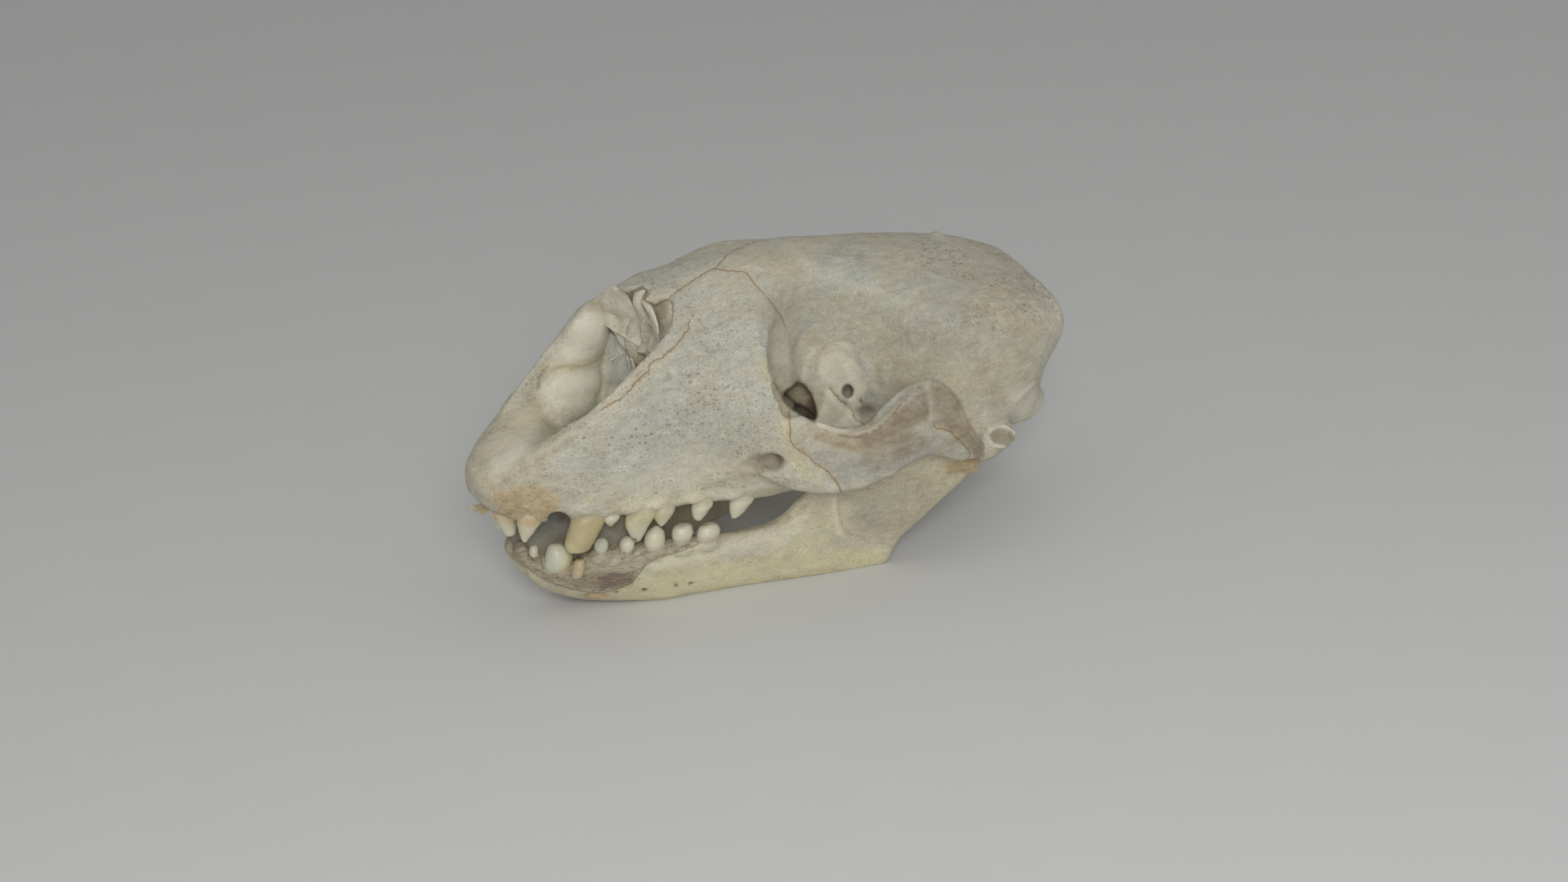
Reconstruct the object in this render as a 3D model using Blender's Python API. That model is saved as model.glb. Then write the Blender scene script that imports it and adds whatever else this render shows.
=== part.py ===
"""Skull of a true seal with its lower jaw closed: cranium, two dentaries and thirty teeth.

The skull frame is in millimetres: x runs from the nose back to the occiput, y points to the skull's
right side (its left side is at negative y), and z is the height above the surface the jaw rests on.
"""
import math

import bmesh
import bpy
import numpy as np
from mathutils import Matrix, Vector

MM = 0.001
MIDDLE_X = -10.3  # skull-frame x of the middle of the whole length, which becomes x = 0 of the model
SEAM = 0.3  # gap between pieces that touch
SIDES = (("left", -1), ("right", 1))

# Facet sizes and the share of triangles kept, so that the solids stay light
CRANIUM_VOXEL = 2.0
JAW_VOXEL = 1.6
CRANIUM_KEPT = 0.042
JAW_KEPT = 0.026
RING_POINTS = 48
LOFT_STEP = 3.0

BONE_COLOUR = (0.60, 0.57, 0.47)
JAW_COLOUR = (0.62, 0.57, 0.42)
TOOTH_COLOUR = (0.72, 0.68, 0.56)
CANINE_COLOUR = (0.60, 0.50, 0.34)

# Cranium: half outlines at stations along x. Each runs from the mid line of the underside, round the
# lower edge and the side, to the mid line of the roof, as (half breadth, height).
CRANIUM_STATIONS = (
    (-150.0, ((0, 57), (3, 56.5), (5.5, 58), (7, 61), (7.5, 65), (6.5, 69), (4, 71.5), (0, 72))),
    (-145.5, ((0, 53), (6, 52.5), (11, 54.5), (14, 60), (15, 66.5), (13, 72.5), (7, 75), (0, 75))),
    (-137.0, ((0, 51), (12, 50), (17.5, 52), (20.5, 60), (22, 69), (20.5, 77), (11, 79), (0, 78))),
    (-129.0, ((0, 50), (16, 49), (22, 51), (25, 60), (26, 71), (24.5, 80.5), (15, 82.5), (0, 81.5))),
    (-117.0, ((0, 50), (20, 48), (26, 50), (29, 62), (30.5, 77), (29, 90), (19, 91.5), (0, 91))),
    (-105.0, ((0, 50), (22, 47), (28, 49), (31.5, 64), (33.5, 82), (32.5, 97.5), (21, 99.5), (0, 99))),
    (-92.0, ((0, 50), (25, 46), (31, 48), (34, 66), (36.5, 88), (35, 107.5), (22, 111), (0, 111))),
    (-78.0, ((0, 50), (27, 45), (33, 47), (36, 66), (39, 92), (36, 117), (23, 124.5), (0, 126))),
    (-69.0, ((0, 50), (29, 44.5), (34, 46.5), (38, 66), (42, 92), (36.5, 118), (23, 130.5), (0, 136))),
    (-60.0, ((0, 50), (30, 44), (35, 46), (41, 66), (45, 92), (37, 117.5), (20, 132.5), (0, 138.5))),
    (-48.0, ((0, 50), (33, 43), (38, 45), (47, 64), (52, 89), (41, 114), (17, 134.5), (0, 139.5))),
    (-38.0, ((0, 50), (35, 42), (41, 45), (55, 64), (60, 87), (45, 113.5), (17, 136.5), (0, 141))),
    (-30.0, ((0, 50), (37, 42), (45, 45), (63, 62), (66, 87), (46, 116), (18, 138.5), (0, 142))),
    (-22.0, ((0, 50), (37, 44), (52, 47), (70, 60), (69, 79), (45, 110), (20, 138.5), (0, 143))),
    (-12.0, ((0, 50), (28, 46), (36, 50), (40, 64), (34, 82), (27, 110), (23, 136), (0, 143))),
    (0.0, ((0, 53), (14, 50), (19, 54), (19, 66), (18, 84), (19, 110), (22, 133), (0, 142))),
    (15.0, ((0, 55), (14, 51), (19, 55), (19, 68), (18, 86), (20, 108), (24, 129), (0, 140.5))),
    (30.0, ((0, 52), (18, 50), (24, 56), (27, 68), (29, 86), (31, 106), (28, 125.5), (0, 138))),
    (45.0, ((0, 48), (22, 48), (32, 56), (40, 68), (43, 86), (42, 106), (31, 123), (0, 135.5))),
    (60.0, ((0, 44), (30, 45), (46, 52), (52, 66), (53.5, 86), (49, 106), (32, 121), (0, 132.5))),
    (75.0, ((0, 42), (34, 42), (51, 50), (56, 66), (57.5, 86), (52.5, 105.5), (32, 119), (0, 129))),
    (90.0, ((0, 42), (32, 43), (49, 51), (55, 66), (57.5, 86), (53.5, 104), (31, 116.5), (0, 125.5))),
    (104.0, ((0, 43), (28, 46), (44, 54), (51, 67), (55.5, 85), (52, 101), (31, 112.5), (0, 121))),
    (114.0, ((0, 47), (22, 52), (36, 60), (46, 71), (53, 87), (51, 98), (31, 108.5), (0, 116.5))),
    (120.5, ((0, 57), (16, 60), (30, 66), (42, 76), (50, 89), (48, 97.5), (30, 106), (0, 112.5))),
    (124.0, ((0, 62), (13, 64), (24, 70), (33, 79), (37, 88), (34, 94), (22, 101), (0, 105))),
)

# Zygomatic arch, from inside the maxilla to the squamosal: x, y, half thickness, lowest z, highest z
ARCH_STATIONS = (
    (-42.0, 50.0, 6.0, 60.0, 80.0),
    (-30.0, 60.5, 5.5, 52.0, 86.0),
    (-20.0, 67.0, 4.5, 49.5, 82.5),
    (-11.0, 70.5, 4.0, 49.0, 78.5),
    (-2.0, 73.2, 3.8, 50.0, 77.5),
    (8.0, 75.4, 3.6, 52.5, 81.0),
    (18.0, 76.5, 3.5, 56.0, 87.5),
    (27.0, 76.6, 3.4, 58.0, 92.0),
    (35.0, 76.0, 3.6, 55.5, 90.5),
    (43.0, 75.0, 4.0, 51.0, 80.5),
    (51.0, 72.5, 4.5, 48.5, 67.0),
    (60.0, 67.5, 5.5, 47.8, 58.0),
    (70.0, 60.0, 6.0, 47.0, 57.0),
)
# Plates that hang from the skull base beside the rear nasal opening
PTERYGOID_STATIONS = (
    (-14.0, 17.0, 2.5, 46.0, 66.0),
    (2.0, 18.0, 2.4, 44.0, 66.0),
    (16.0, 20.0, 2.4, 41.0, 66.0),
    (24.0, 21.5, 2.6, 41.5, 66.0),
    (34.0, 21.0, 3.0, 48.0, 66.0),
)
SEPTUM_STATIONS = (
    (-66.0, 0.0, 1.8, 108.0, 135.0),
    (-58.0, 0.0, 1.8, 84.0, 137.0),
    (-44.0, 0.0, 2.0, 66.0, 138.0),
    (-20.0, 0.0, 2.4, 56.0, 138.0),
    (6.0, 0.0, 3.0, 56.0, 120.0),
)

# Lumps that the cranium's outline takes on each side: centre, half sizes, turn about z in degrees
CRANIUM_LUMPS = (
    ((66.0, 55.0, 54.0), (12.0, 16.0, 7.5), 0.0),
    ((72.0, 58.0, 47.5), (5.0, 10.0, 8.0), 0.0),
    ((82.0, 55.5, 46.5), (8.5, 9.0, 9.0), 0.0),
    ((71.0, 37.0, 42.0), (17.0, 14.0, 11.0), 20.0),
    ((94.0, 38.0, 51.0), (12.0, 9.0, 7.0), -20.0),
    ((118.5, 22.0, 44.0), (13.0, 9.5, 10.5), -30.0),
    ((104.0, 13.0, 43.0), (16.0, 12.0, 7.5), 0.0),
    ((14.0, 17.0, 74.0), (11.0, 8.0, 20.0), 0.0),
    ((-146.5, 1.0, 54.0), (5.5, 2.5, 1.7), 0.0),
)
# Swellings on the walls of the nose, which its hollow goes round, and the scroll beside the septum
WALL_SWELLINGS = (
    ((-96.5, 33.0, 89.0), (20.0, 13.0, 13.0), -8.0),
    ((-80.0, 34.0, 111.0), (14.0, 13.0, 15.5), 0.0),
)
NOSE_SCROLL = ((-59.0, 11.0, 106.0), (10.0, 7.0, 13.0), 0.0)

# Hollow of the nose: half outlines along x, each from its floor's mid line to above its open top
NOSE_STATIONS = (
    (-138.0, ((0, 83), (8, 83), (14, 84), (18, 87), (20, 93), (20, 103), (12, 112), (0, 114))),
    (-126.0, ((0, 82), (12, 82), (18, 84), (22, 88), (24, 96), (25, 106), (16, 118), (0, 120))),
    (-112.0, ((0, 79), (12, 79.5), (19, 82), (24, 87), (27, 97), (29, 111), (20, 125), (0, 128))),
    (-98.0, ((0, 68), (13, 69), (21, 73), (26, 84), (29.5, 101), (31, 116), (24, 132), (0, 136))),
    (-84.0, ((0, 60), (14, 61), (22, 68), (27, 82), (31, 105), (34, 122), (28, 140), (0, 145))),
    (-73.0, ((0, 58), (14, 59), (22, 68), (27, 84), (30, 106), (32, 124), (26, 142), (0, 147))),
    (-65.0, ((0, 58), (14, 59), (22, 68), (27, 84), (28, 106), (27, 124), (21, 140), (0, 145))),
    (-57.5, ((0, 58), (14, 59), (21, 68), (25, 84), (26, 104), (22, 121), (13, 130), (0, 132))),
    (-40.0, ((0, 58), (13, 59), (19, 68), (22, 84), (23, 104), (19, 122), (12, 130), (0, 132))),
    (-20.0, ((0, 56), (11, 57), (15, 64), (16, 78), (16, 98), (14, 116), (9, 124), (0, 126))),
    (-6.0, ((0, 48), (10, 49), (13, 53), (14, 60), (13, 68), (11, 76), (6, 82), (0, 84))),
    (12.0, ((0, 34), (10, 35), (13, 40), (14, 47), (13, 54), (10, 58), (6, 60), (0, 61))),
)
# Tips of the nasal bones, which overhang the opening of the nose
NASAL_STATIONS = (
    (-74.0, ((0, 133.5), (4, 133.5), (6, 133.2), (7, 133.6), (7, 134.6), (6, 135.6), (3.5, 136.2), (0, 136.2))),
    (-67.0, ((0, 132.5), (7, 132), (11, 130.5), (13, 130.5), (13.5, 132), (12, 134.5), (7, 136.6), (0, 137.2))),
    (-60.0, ((0, 131), (9, 130), (14, 128.5), (16.5, 128.5), (17, 130), (15.5, 133), (9, 137), (0, 138.3))),
    (-50.0, ((0, 129), (9, 128), (14, 127), (16.5, 127), (17, 129), (15.5, 133), (9, 137), (0, 138.8))),
)

# Other spaces cut out of the shell: ellipsoids on each side, or on the mid line where y is 0
HOLLOWS = (
    ("orbits", (((1.0, 60.0, 98.0), (35.0, 38.0, 43.0), 0.0),)),
    ("braincase", (
        ((72.0, 0.0, 87.0), (43.0, 47.0, 35.0), 0.0),
        ((112.0, 0.0, 60.0), (24.0, 14.0, 15.0), 0.0),
    )),
    ("foramina", (
        ((-36.0, 57.0, 66.5), (11.0, 4.8, 5.4), 40.0),
        ((2.0, 18.0, 71.0), (6.0, 9.0, 8.0), 0.0),
    )),
)

# Dentary, from the chin to the neck of the condyle: x, then y and half thickness at its lower edge,
# y and half thickness at its upper edge, lowest z, highest z
DENTARY_STATIONS = (
    (-135.0, 3.2, 2.5, 5.5, 5.0, 24.0, 32.0),
    (-129.5, 5.2, 4.8, 8.8, 8.4, 15.8, 28.5),
    (-121.0, 7.0, 6.4, 12.2, 11.8, 9.2, 26.5),
    (-108.0, 9.0, 7.0, 15.2, 12.4, 3.6, 29.0),
    (-96.0, 14.0, 6.8, 20.4, 10.4, 1.2, 30.0),
    (-80.0, 21.2, 6.2, 26.2, 8.4, -0.2, 29.5),
    (-60.0, 26.5, 5.2, 31.0, 7.0, -0.8, 28.5),
    (-40.0, 32.0, 4.8, 37.0, 6.3, -1.0, 28.0),
    (-26.0, 37.0, 4.5, 42.0, 5.6, -1.0, 31.5),
    (-14.0, 41.5, 4.2, 45.5, 4.8, -1.0, 43.0),
    (-4.0, 45.0, 4.0, 48.0, 4.0, -1.0, 54.0),
    (6.0, 48.0, 3.8, 50.0, 3.4, -1.0, 62.5),
    (14.0, 50.0, 3.6, 51.5, 3.0, -0.8, 67.0),
    (21.0, 51.5, 3.6, 52.5, 3.0, 0.0, 65.0),
    (24.0, 52.0, 3.6, 53.0, 3.2, 6.5, 62.5),
    (34.0, 54.0, 3.6, 55.0, 3.4, 15.5, 52.0),
    (44.0, 56.5, 4.0, 57.5, 3.8, 24.0, 45.0),
    (53.0, 59.0, 4.6, 60.0, 4.6, 32.0, 43.5),
    (59.0, 60.5, 5.0, 61.0, 5.0, 37.5, 43.5),
)
CONDYLE = ((60.0, 61.5, 40.4), (6.0, 11.0, 4.9), 0.0)

# Teeth: name, root end, neck, tip, half breadth along the row, half breadth across it
UPPER_TEETH = (
    ("incisor_1", (-134.0, 4.0, 57.0), (-136.0, 4.2, 50.5), (-137.6, 4.2, 42.0), 2.6, 3.2),
    ("incisor_2", (-127.5, 12.2, 59.0), (-130.5, 12.4, 51.0), (-134.4, 12.2, 39.5), 4.2, 4.2),
    ("canine", (-109.5, 22.5, 62.0), (-111.5, 23.5, 50.5), (-114.8, 24.0, 34.8), 6.4, 5.4),
    ("cheek_1", (-100.5, 25.5, 54.0), (-100.8, 26.6, 48.0), (-100.8, 27.4, 42.5), 3.1, 3.0),
    ("cheek_2", (-92.5, 28.0, 55.0), (-91.2, 29.2, 48.0), (-89.2, 30.6, 36.0), 5.4, 4.2),
    ("cheek_3", (-79.5, 29.5, 53.0), (-79.0, 31.0, 46.5), (-78.2, 32.4, 40.0), 5.2, 3.8),
    ("cheek_4", (-63.0, 33.0, 52.0), (-62.6, 34.4, 45.8), (-61.8, 35.8, 38.3), 4.6, 3.5),
    ("cheek_5", (-46.5, 35.0, 50.0), (-45.8, 36.4, 43.8), (-44.6, 37.8, 36.4), 4.6, 3.3),
)
LOWER_TEETH = (
    ("incisor_1", (-126.5, 5.6, 21.0), (-128.0, 5.8, 27.0), (-130.0, 6.0, 33.0), 3.0, 2.8),
    ("canine", (-115.5, 9.8, 14.5), (-119.0, 13.4, 24.0), (-122.8, 16.6, 36.5), 6.0, 5.6),
    ("cheek_1", (-103.5, 20.5, 23.0), (-104.0, 22.0, 29.0), (-104.8, 23.8, 37.6), 3.6, 3.4),
    ("cheek_2", (-93.0, 24.0, 22.5), (-93.3, 25.2, 28.5), (-93.6, 27.0, 36.0), 3.3, 3.1),
    ("cheek_3", (-82.0, 27.0, 22.0), (-82.0, 28.2, 28.5), (-82.2, 30.0, 38.4), 4.8, 4.2),
    ("cheek_4", (-70.0, 30.0, 22.0), (-70.0, 31.2, 28.0), (-70.2, 33.0, 37.6), 4.8, 4.0),
    ("cheek_5", (-59.0, 32.5, 22.0), (-59.0, 33.7, 28.0), (-59.2, 35.4, 35.2), 5.2, 3.6),
)
TOOTH_SIDES = 8


def placed(point):
    """Skull-frame millimetres to the model's metres."""
    return Vector(((point[0] - MIDDLE_X) * MM, point[1] * MM, point[2] * MM))


def smooth_through(keys, values, at):
    """Cubic curve through values given at keys, read at the places in at."""
    keys = np.asarray(keys, float)
    values = np.asarray(values, float)
    slopes = np.gradient(values, keys, axis=0)
    index = np.clip(np.searchsorted(keys, at, side="right") - 1, 0, len(keys) - 2)
    span = keys[index + 1] - keys[index]
    t = (at - keys[index]) / span
    shape = (-1,) + (1,) * (values.ndim - 1)
    t = t.reshape(shape)
    span = span.reshape(shape)
    start = values[index]
    end = values[index + 1]
    return (start * (2 * t**3 - 3 * t**2 + 1) + slopes[index] * span * (t**3 - 2 * t**2 + t)
            + end * (3 * t**2 - 2 * t**3) + slopes[index + 1] * span * (t**3 - t**2))


def steps_along(start, end):
    """Places from start to end, about one loft step apart."""
    count = max(2, round((end - start) / LOFT_STEP)) + 1
    return np.linspace(start, end, count)


def closed_ring(half_outline):
    """Closed ring of (y, z) points from a half outline and its mirror image."""
    half = np.asarray(half_outline, float)
    mirror = half[-2:0:-1] * (-1, 1)
    loop = np.vstack((half, mirror, half[:1]))
    ring = smooth_through(np.arange(len(loop)), loop, np.linspace(0, len(loop) - 1, RING_POINTS, endpoint=False))
    return ring


def outline_rings(stations):
    """Rings of 3-D points through stations of half outlines."""
    keys = [x for x, _ in stations]
    places = steps_along(keys[0], keys[-1])
    outlines = smooth_through(keys, [outline for _, outline in stations], places)
    rings = []
    for x, outline in zip(places, outlines):
        rings.append([(x, y, z) for y, z in closed_ring(outline)])
    return rings


def both_edges(station):
    """A slab station's values for its lower edge, its upper edge and its two heights."""
    _, *edges, low, high = station
    if len(edges) == 2:
        edges = edges * 2
    return (*edges, low, high)


def slab_rings(stations, side):
    """Rings of a plate that stands on edge. A station is x, y and half thickness, for the lower and the
    upper edge or once for both, and the lowest and the highest z."""
    keys = [station[0] for station in stations]
    places = steps_along(keys[0], keys[-1])
    rows = smooth_through(keys, [both_edges(station) for station in stations], places)
    angles = np.linspace(0, 2 * math.pi, RING_POINTS // 2, endpoint=False)
    across = np.sign(np.cos(angles)) * np.abs(np.cos(angles)) ** 0.7
    upright = np.sign(np.sin(angles)) * np.abs(np.sin(angles)) ** 0.7
    rings = []
    for x, (low_y, low_half, high_y, high_half, low, high) in zip(places, rows):
        rise = (upright + 1) / 2
        ys = side * (low_y + (high_y - low_y) * rise) + (low_half + (high_half - low_half) * rise) * across
        zs = (low + high) / 2 + (high - low) / 2 * upright
        rings.append([(x, ring_y, ring_z) for ring_y, ring_z in zip(ys, zs)])
    return rings


def add_loft(bm, rings):
    """Closed skin through rings of equal length, capped at both ends, facing outwards."""
    made = [[bm.verts.new(placed(point)) for point in ring] for ring in rings]
    faces = []
    for ring, following in zip(made, made[1:]):
        for here in range(len(ring)):
            there = (here + 1) % len(ring)
            faces.append(bm.faces.new((ring[here], ring[there], following[there], following[here])))
    faces.append(bm.faces.new(made[0]))
    faces.append(bm.faces.new(made[-1]))
    bmesh.ops.recalc_face_normals(bm, faces=faces)


def add_blob(bm, centre, half_sizes, turn, side=1):
    """Ellipsoid, turned about the vertical; side -1 gives its mirror image."""
    place = placed((centre[0], side * centre[1], centre[2]))
    matrix = (Matrix.Translation(place) @ Matrix.Rotation(math.radians(side * turn), 4, "Z")
              @ Matrix.Diagonal((*(size * MM for size in half_sizes), 1.0)))
    bmesh.ops.create_uvsphere(bm, u_segments=28, v_segments=18, radius=1.0, matrix=matrix)


def object_from(bm, name):
    """Scene object holding the mesh built in bm."""
    mesh = bpy.data.meshes.new(name)
    bm.to_mesh(mesh)
    bm.free()
    thing = bpy.data.objects.new(name, mesh)
    bpy.context.scene.collection.objects.link(thing)
    return thing


def bone_material(name, colour, roughness):
    """Principled material with one colour."""
    material = bpy.data.materials.new(name)
    material.use_nodes = True
    shader = material.node_tree.nodes["Principled BSDF"]
    shader.inputs["Base Color"].default_value = (*colour, 1.0)
    shader.inputs["Roughness"].default_value = roughness
    shader.inputs["Metallic"].default_value = 0.0
    return material


def as_cutter(thing):
    """Marks a shape as a guide that is left out of the model."""
    thing.hide_render = True
    thing.display_type = "WIRE"
    return thing


def remeshed(thing, voxel):
    """Joins a thing's bodies into one skin."""
    modifier = thing.modifiers.new("one skin", "REMESH")
    modifier.mode = "VOXEL"
    modifier.voxel_size = voxel * MM


def smoothed(thing, factor, repeats):
    """Softens a thing's skin."""
    modifier = thing.modifiers.new("soften", "SMOOTH")
    modifier.factor = factor
    modifier.iterations = repeats


def combined(thing, other, operation):
    """Boolean of a thing with a guide shape."""
    modifier = thing.modifiers.new(other.name, "BOOLEAN")
    modifier.operation = operation
    modifier.solver = "EXACT"
    modifier.object = other


def applied(thing):
    """Gives a thing the mesh that its modifiers make of it, and takes them off."""
    graph = bpy.context.evaluated_depsgraph_get()
    thing.data = bpy.data.meshes.new_from_object(thing.evaluated_get(graph))
    thing.modifiers.clear()


def joined(thing, other):
    """Adds another thing's bodies to a thing and removes the other."""
    bm = bmesh.new()
    bm.from_mesh(thing.data)
    bm.from_mesh(other.data)
    bm.to_mesh(thing.data)
    bm.free()
    bpy.data.objects.remove(other)


def lightened(thing, share):
    """Keeps a share of a thing's triangles."""
    modifier = thing.modifiers.new("lighten", "DECIMATE")
    modifier.ratio = share
    modifier.use_collapse_triangulate = True


def tooth_rings(root, neck, tip, along, across, extra=0.0):
    """Rings of a tooth from its root's end to its blunt tip; extra widens and deepens it."""
    root, neck, tip = (Vector(point) for point in (root, neck, tip))
    axis = (tip - root).normalized()
    root = root - axis * extra
    rings = []
    levels = ((root, 0.62), (neck, 0.94), (neck.lerp(tip, 0.5), 1.0), (neck.lerp(tip, 0.85), 0.66), (tip, 0.22))
    for centre, share in levels:
        ring = []
        for step in range(TOOTH_SIDES):
            angle = 2 * math.pi * (step + 0.5) / TOOTH_SIDES
            shift_x = (along * share + extra) * math.cos(angle)
            shift_y = (across * share + extra) * math.sin(angle)
            ring.append((centre.x + shift_x, centre.y + shift_y, centre.z - shift_x * axis.x / axis.z))
        rings.append(ring)
    return rings


def mirrored(point, side):
    """A point of the left-side tables put on the wanted side."""
    return (point[0], side * point[1], point[2])


def build_teeth(jaw, table):
    """The teeth of one jaw, and one socket cutter for each side."""
    sockets = {}
    for side_name, side in SIDES:
        cutter = bmesh.new()
        for name, root, neck, tip, along, across in table:
            ends = [mirrored(point, side) for point in (root, neck, tip)]
            bm = bmesh.new()
            add_loft(bm, tooth_rings(*ends, along, across))
            tooth = object_from(bm, f"{jaw}_{name}_{side_name}")
            tooth.data.materials.append(bpy.data.materials["canine" if name == "canine" else "tooth"])
            tooth.data.shade_smooth()
            add_loft(cutter, tooth_rings(*ends, along, across, SEAM))
        sockets[side_name] = as_cutter(object_from(cutter, f"{jaw}_sockets_{side_name}"))
    return sockets


def cranium_body():
    """Overlapping bodies that make the main shell of the cranium."""
    bm = bmesh.new()
    add_loft(bm, outline_rings(CRANIUM_STATIONS))
    return object_from(bm, "cranium")


def cranium_additions():
    """What grows out of the shell: cheek arches, plates, lumps, and the septum and walls of the nose."""
    bm = bmesh.new()
    add_loft(bm, slab_rings(SEPTUM_STATIONS, 1))
    add_loft(bm, outline_rings(NASAL_STATIONS))
    for _, side in SIDES:
        add_loft(bm, slab_rings(ARCH_STATIONS, side))
        add_loft(bm, slab_rings(PTERYGOID_STATIONS, side))
        for centre, half_sizes, turn in (*CRANIUM_LUMPS, NOSE_SCROLL):
            add_blob(bm, centre, half_sizes, turn, side)
    return object_from(bm, "additions")


def guide_of_blobs(name, blobs):
    """Cutter made of ellipsoids, on both sides where they aren't on the mid line."""
    bm = bmesh.new()
    for _, side in SIDES:
        for centre, half_sizes, turn in blobs:
            if centre[1] or side > 0:
                add_blob(bm, centre, half_sizes, turn, side)
    guide = as_cutter(object_from(bm, name))
    remeshed(guide, CRANIUM_VOXEL)
    return guide


def cranium_hollows():
    """The spaces cut out of the shell: the nose, the eye sockets, the braincase and the foramina."""
    bm = bmesh.new()
    add_loft(bm, outline_rings(NOSE_STATIONS))
    nose = as_cutter(object_from(bm, "nose_hollow"))
    remeshed(nose, CRANIUM_VOXEL)
    combined(nose, guide_of_blobs("wall_swellings", WALL_SWELLINGS), "DIFFERENCE")
    return [nose] + [guide_of_blobs(name, blobs) for name, blobs in HOLLOWS]


def build_cranium(sockets):
    """The cranium with its hollows and tooth sockets."""
    cranium = cranium_body()
    cranium.data.materials.append(bone_material("cranium_bone", BONE_COLOUR, 0.6))
    remeshed(cranium, CRANIUM_VOXEL)
    for hollow in cranium_hollows():
        combined(cranium, hollow, "DIFFERENCE")
    applied(cranium)
    joined(cranium, cranium_additions())
    remeshed(cranium, CRANIUM_VOXEL)
    smoothed(cranium, 0.5, 3)
    lightened(cranium, CRANIUM_KEPT)
    for side_name, _ in SIDES:
        combined(cranium, sockets[side_name], "DIFFERENCE")
    return cranium


def build_dentary(side_name, side, socket):
    """One half of the lower jaw, cut flat where it rests."""
    bm = bmesh.new()
    add_loft(bm, slab_rings(DENTARY_STATIONS, side))
    add_blob(bm, *CONDYLE, side)
    dentary = object_from(bm, f"mandible_{side_name}")
    dentary.data.materials.append(bpy.data.materials["jaw_bone"])
    remeshed(dentary, JAW_VOXEL)
    smoothed(dentary, 0.5, 2)
    lightened(dentary, JAW_KEPT)
    combined(dentary, socket, "DIFFERENCE")
    combined(dentary, bpy.data.objects["resting_surface"], "DIFFERENCE")
    return dentary


def add_resting_surface():
    """The surface the jaw rests on, as a cutter with its top at z = 0."""
    bm = bmesh.new()
    bmesh.ops.create_cube(bm, size=1.0, matrix=Matrix.Translation((0, 0, -0.5)) @ Matrix.Diagonal((1, 1, 1, 1)))
    return as_cutter(object_from(bm, "resting_surface"))


def main():
    """Builds the whole skull."""
    for thing in list(bpy.data.objects):
        bpy.data.objects.remove(thing)
    bone_material("tooth", TOOTH_COLOUR, 0.35)
    bone_material("canine", CANINE_COLOUR, 0.35)
    bone_material("jaw_bone", JAW_COLOUR, 0.55)
    add_resting_surface()
    upper_sockets = build_teeth("upper", UPPER_TEETH)
    lower_sockets = build_teeth("lower", LOWER_TEETH)
    build_cranium(upper_sockets)
    for side_name, side in SIDES:
        build_dentary(side_name, side, lower_sockets[side_name])


main()
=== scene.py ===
"""Dried skull of a seal with its lower jaw closed: cranium, lower jaw, teeth and the thin bones of the nose.

Points in the tables are in the skull frame, in millimetres: x runs from the nose back to the occiput, y
to the skull's right side (its left side is at negative y), and z up from the surface the jaw rests on.
Pixels are places in the photograph, 1920 wide and 1080 high. They are cast from its camera onto the
surface that they show.
"""

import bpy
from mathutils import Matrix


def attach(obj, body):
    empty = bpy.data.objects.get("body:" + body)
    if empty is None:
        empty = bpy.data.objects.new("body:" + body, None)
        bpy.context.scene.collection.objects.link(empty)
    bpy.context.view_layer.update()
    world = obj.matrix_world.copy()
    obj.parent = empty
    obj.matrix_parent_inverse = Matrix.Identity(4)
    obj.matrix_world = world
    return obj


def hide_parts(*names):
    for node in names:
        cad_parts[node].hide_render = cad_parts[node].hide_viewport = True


bl_info = {
    "name": "Seal skull",
    "version": (1, 0, 0),
    "blender": (4, 5, 0),
    "location": "3D View > Sidebar > Skull",
    "description": "Models a dried seal skull with its lower jaw and its teeth",
    "category": "Add Mesh",
}

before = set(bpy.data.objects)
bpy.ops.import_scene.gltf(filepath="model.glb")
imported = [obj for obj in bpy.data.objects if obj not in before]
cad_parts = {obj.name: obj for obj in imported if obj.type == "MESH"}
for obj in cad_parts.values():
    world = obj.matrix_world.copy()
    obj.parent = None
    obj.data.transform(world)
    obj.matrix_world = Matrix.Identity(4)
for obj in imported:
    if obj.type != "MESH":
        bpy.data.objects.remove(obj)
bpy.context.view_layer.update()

import math

import bpy
import numpy as np
from bpy.props import FloatProperty, FloatVectorProperty, PointerProperty
from mathutils import Matrix, Vector
from mathutils.bvhtree import BVHTree

MM = 0.001
TINY = 1e-9  # keeps a line without length from dividing by nothing
MIDDLE_X = -10.3  # skull-frame x of the middle of the whole length, which is x = 0 of the model
SIDES = (("left", -1), ("right", 1))
BOTH = (-1, 1)

# The photograph's frame, and the floor and lights in metres
PHOTO_SIZE = (1920, 1080)
SENSOR_WIDTH = 36.0  # mm
FLOOR_SIZE = 6.0
FLOOR_MOTTLE = 1.03  # how much lighter the floor's lightest spots are
FRONT_LIGHT_PLACE = (-0.58, -1.29, 0.75)
FRONT_LIGHT_SIZE = 0.5
TOP_LIGHT_PLACE = (0.25, 0.1, 1.5)
TOP_LIGHT_SIZE = 1.4

# How finely the skins are made, with lengths in millimetres
LOFT_STEP = 3.0
RING_POINTS = 48
BALL_SEGMENTS = 32
BALL_RINGS = 20
PLATE_SIDES = 24
PLATE_STEPS = 8  # rings from one station of a thin plate to the next
STRAND_SIDES = 8
STRAND_LEVELS = 7
TOOTH_SIDES = 16
TOOTH_STEPS = 3  # rings from one level of a crown to the next
ROUTE_STEPS = 4  # places looked up from one pixel of a line to the next
FINE_GRAIN = 1.0  # edge of the voxels of small cutters
EVENING = {"factor": 0.5, "iterations": 5}  # takes the voxels' steps out of a skin
MOST_TRIANGLES = 190000  # of the cranium

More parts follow.
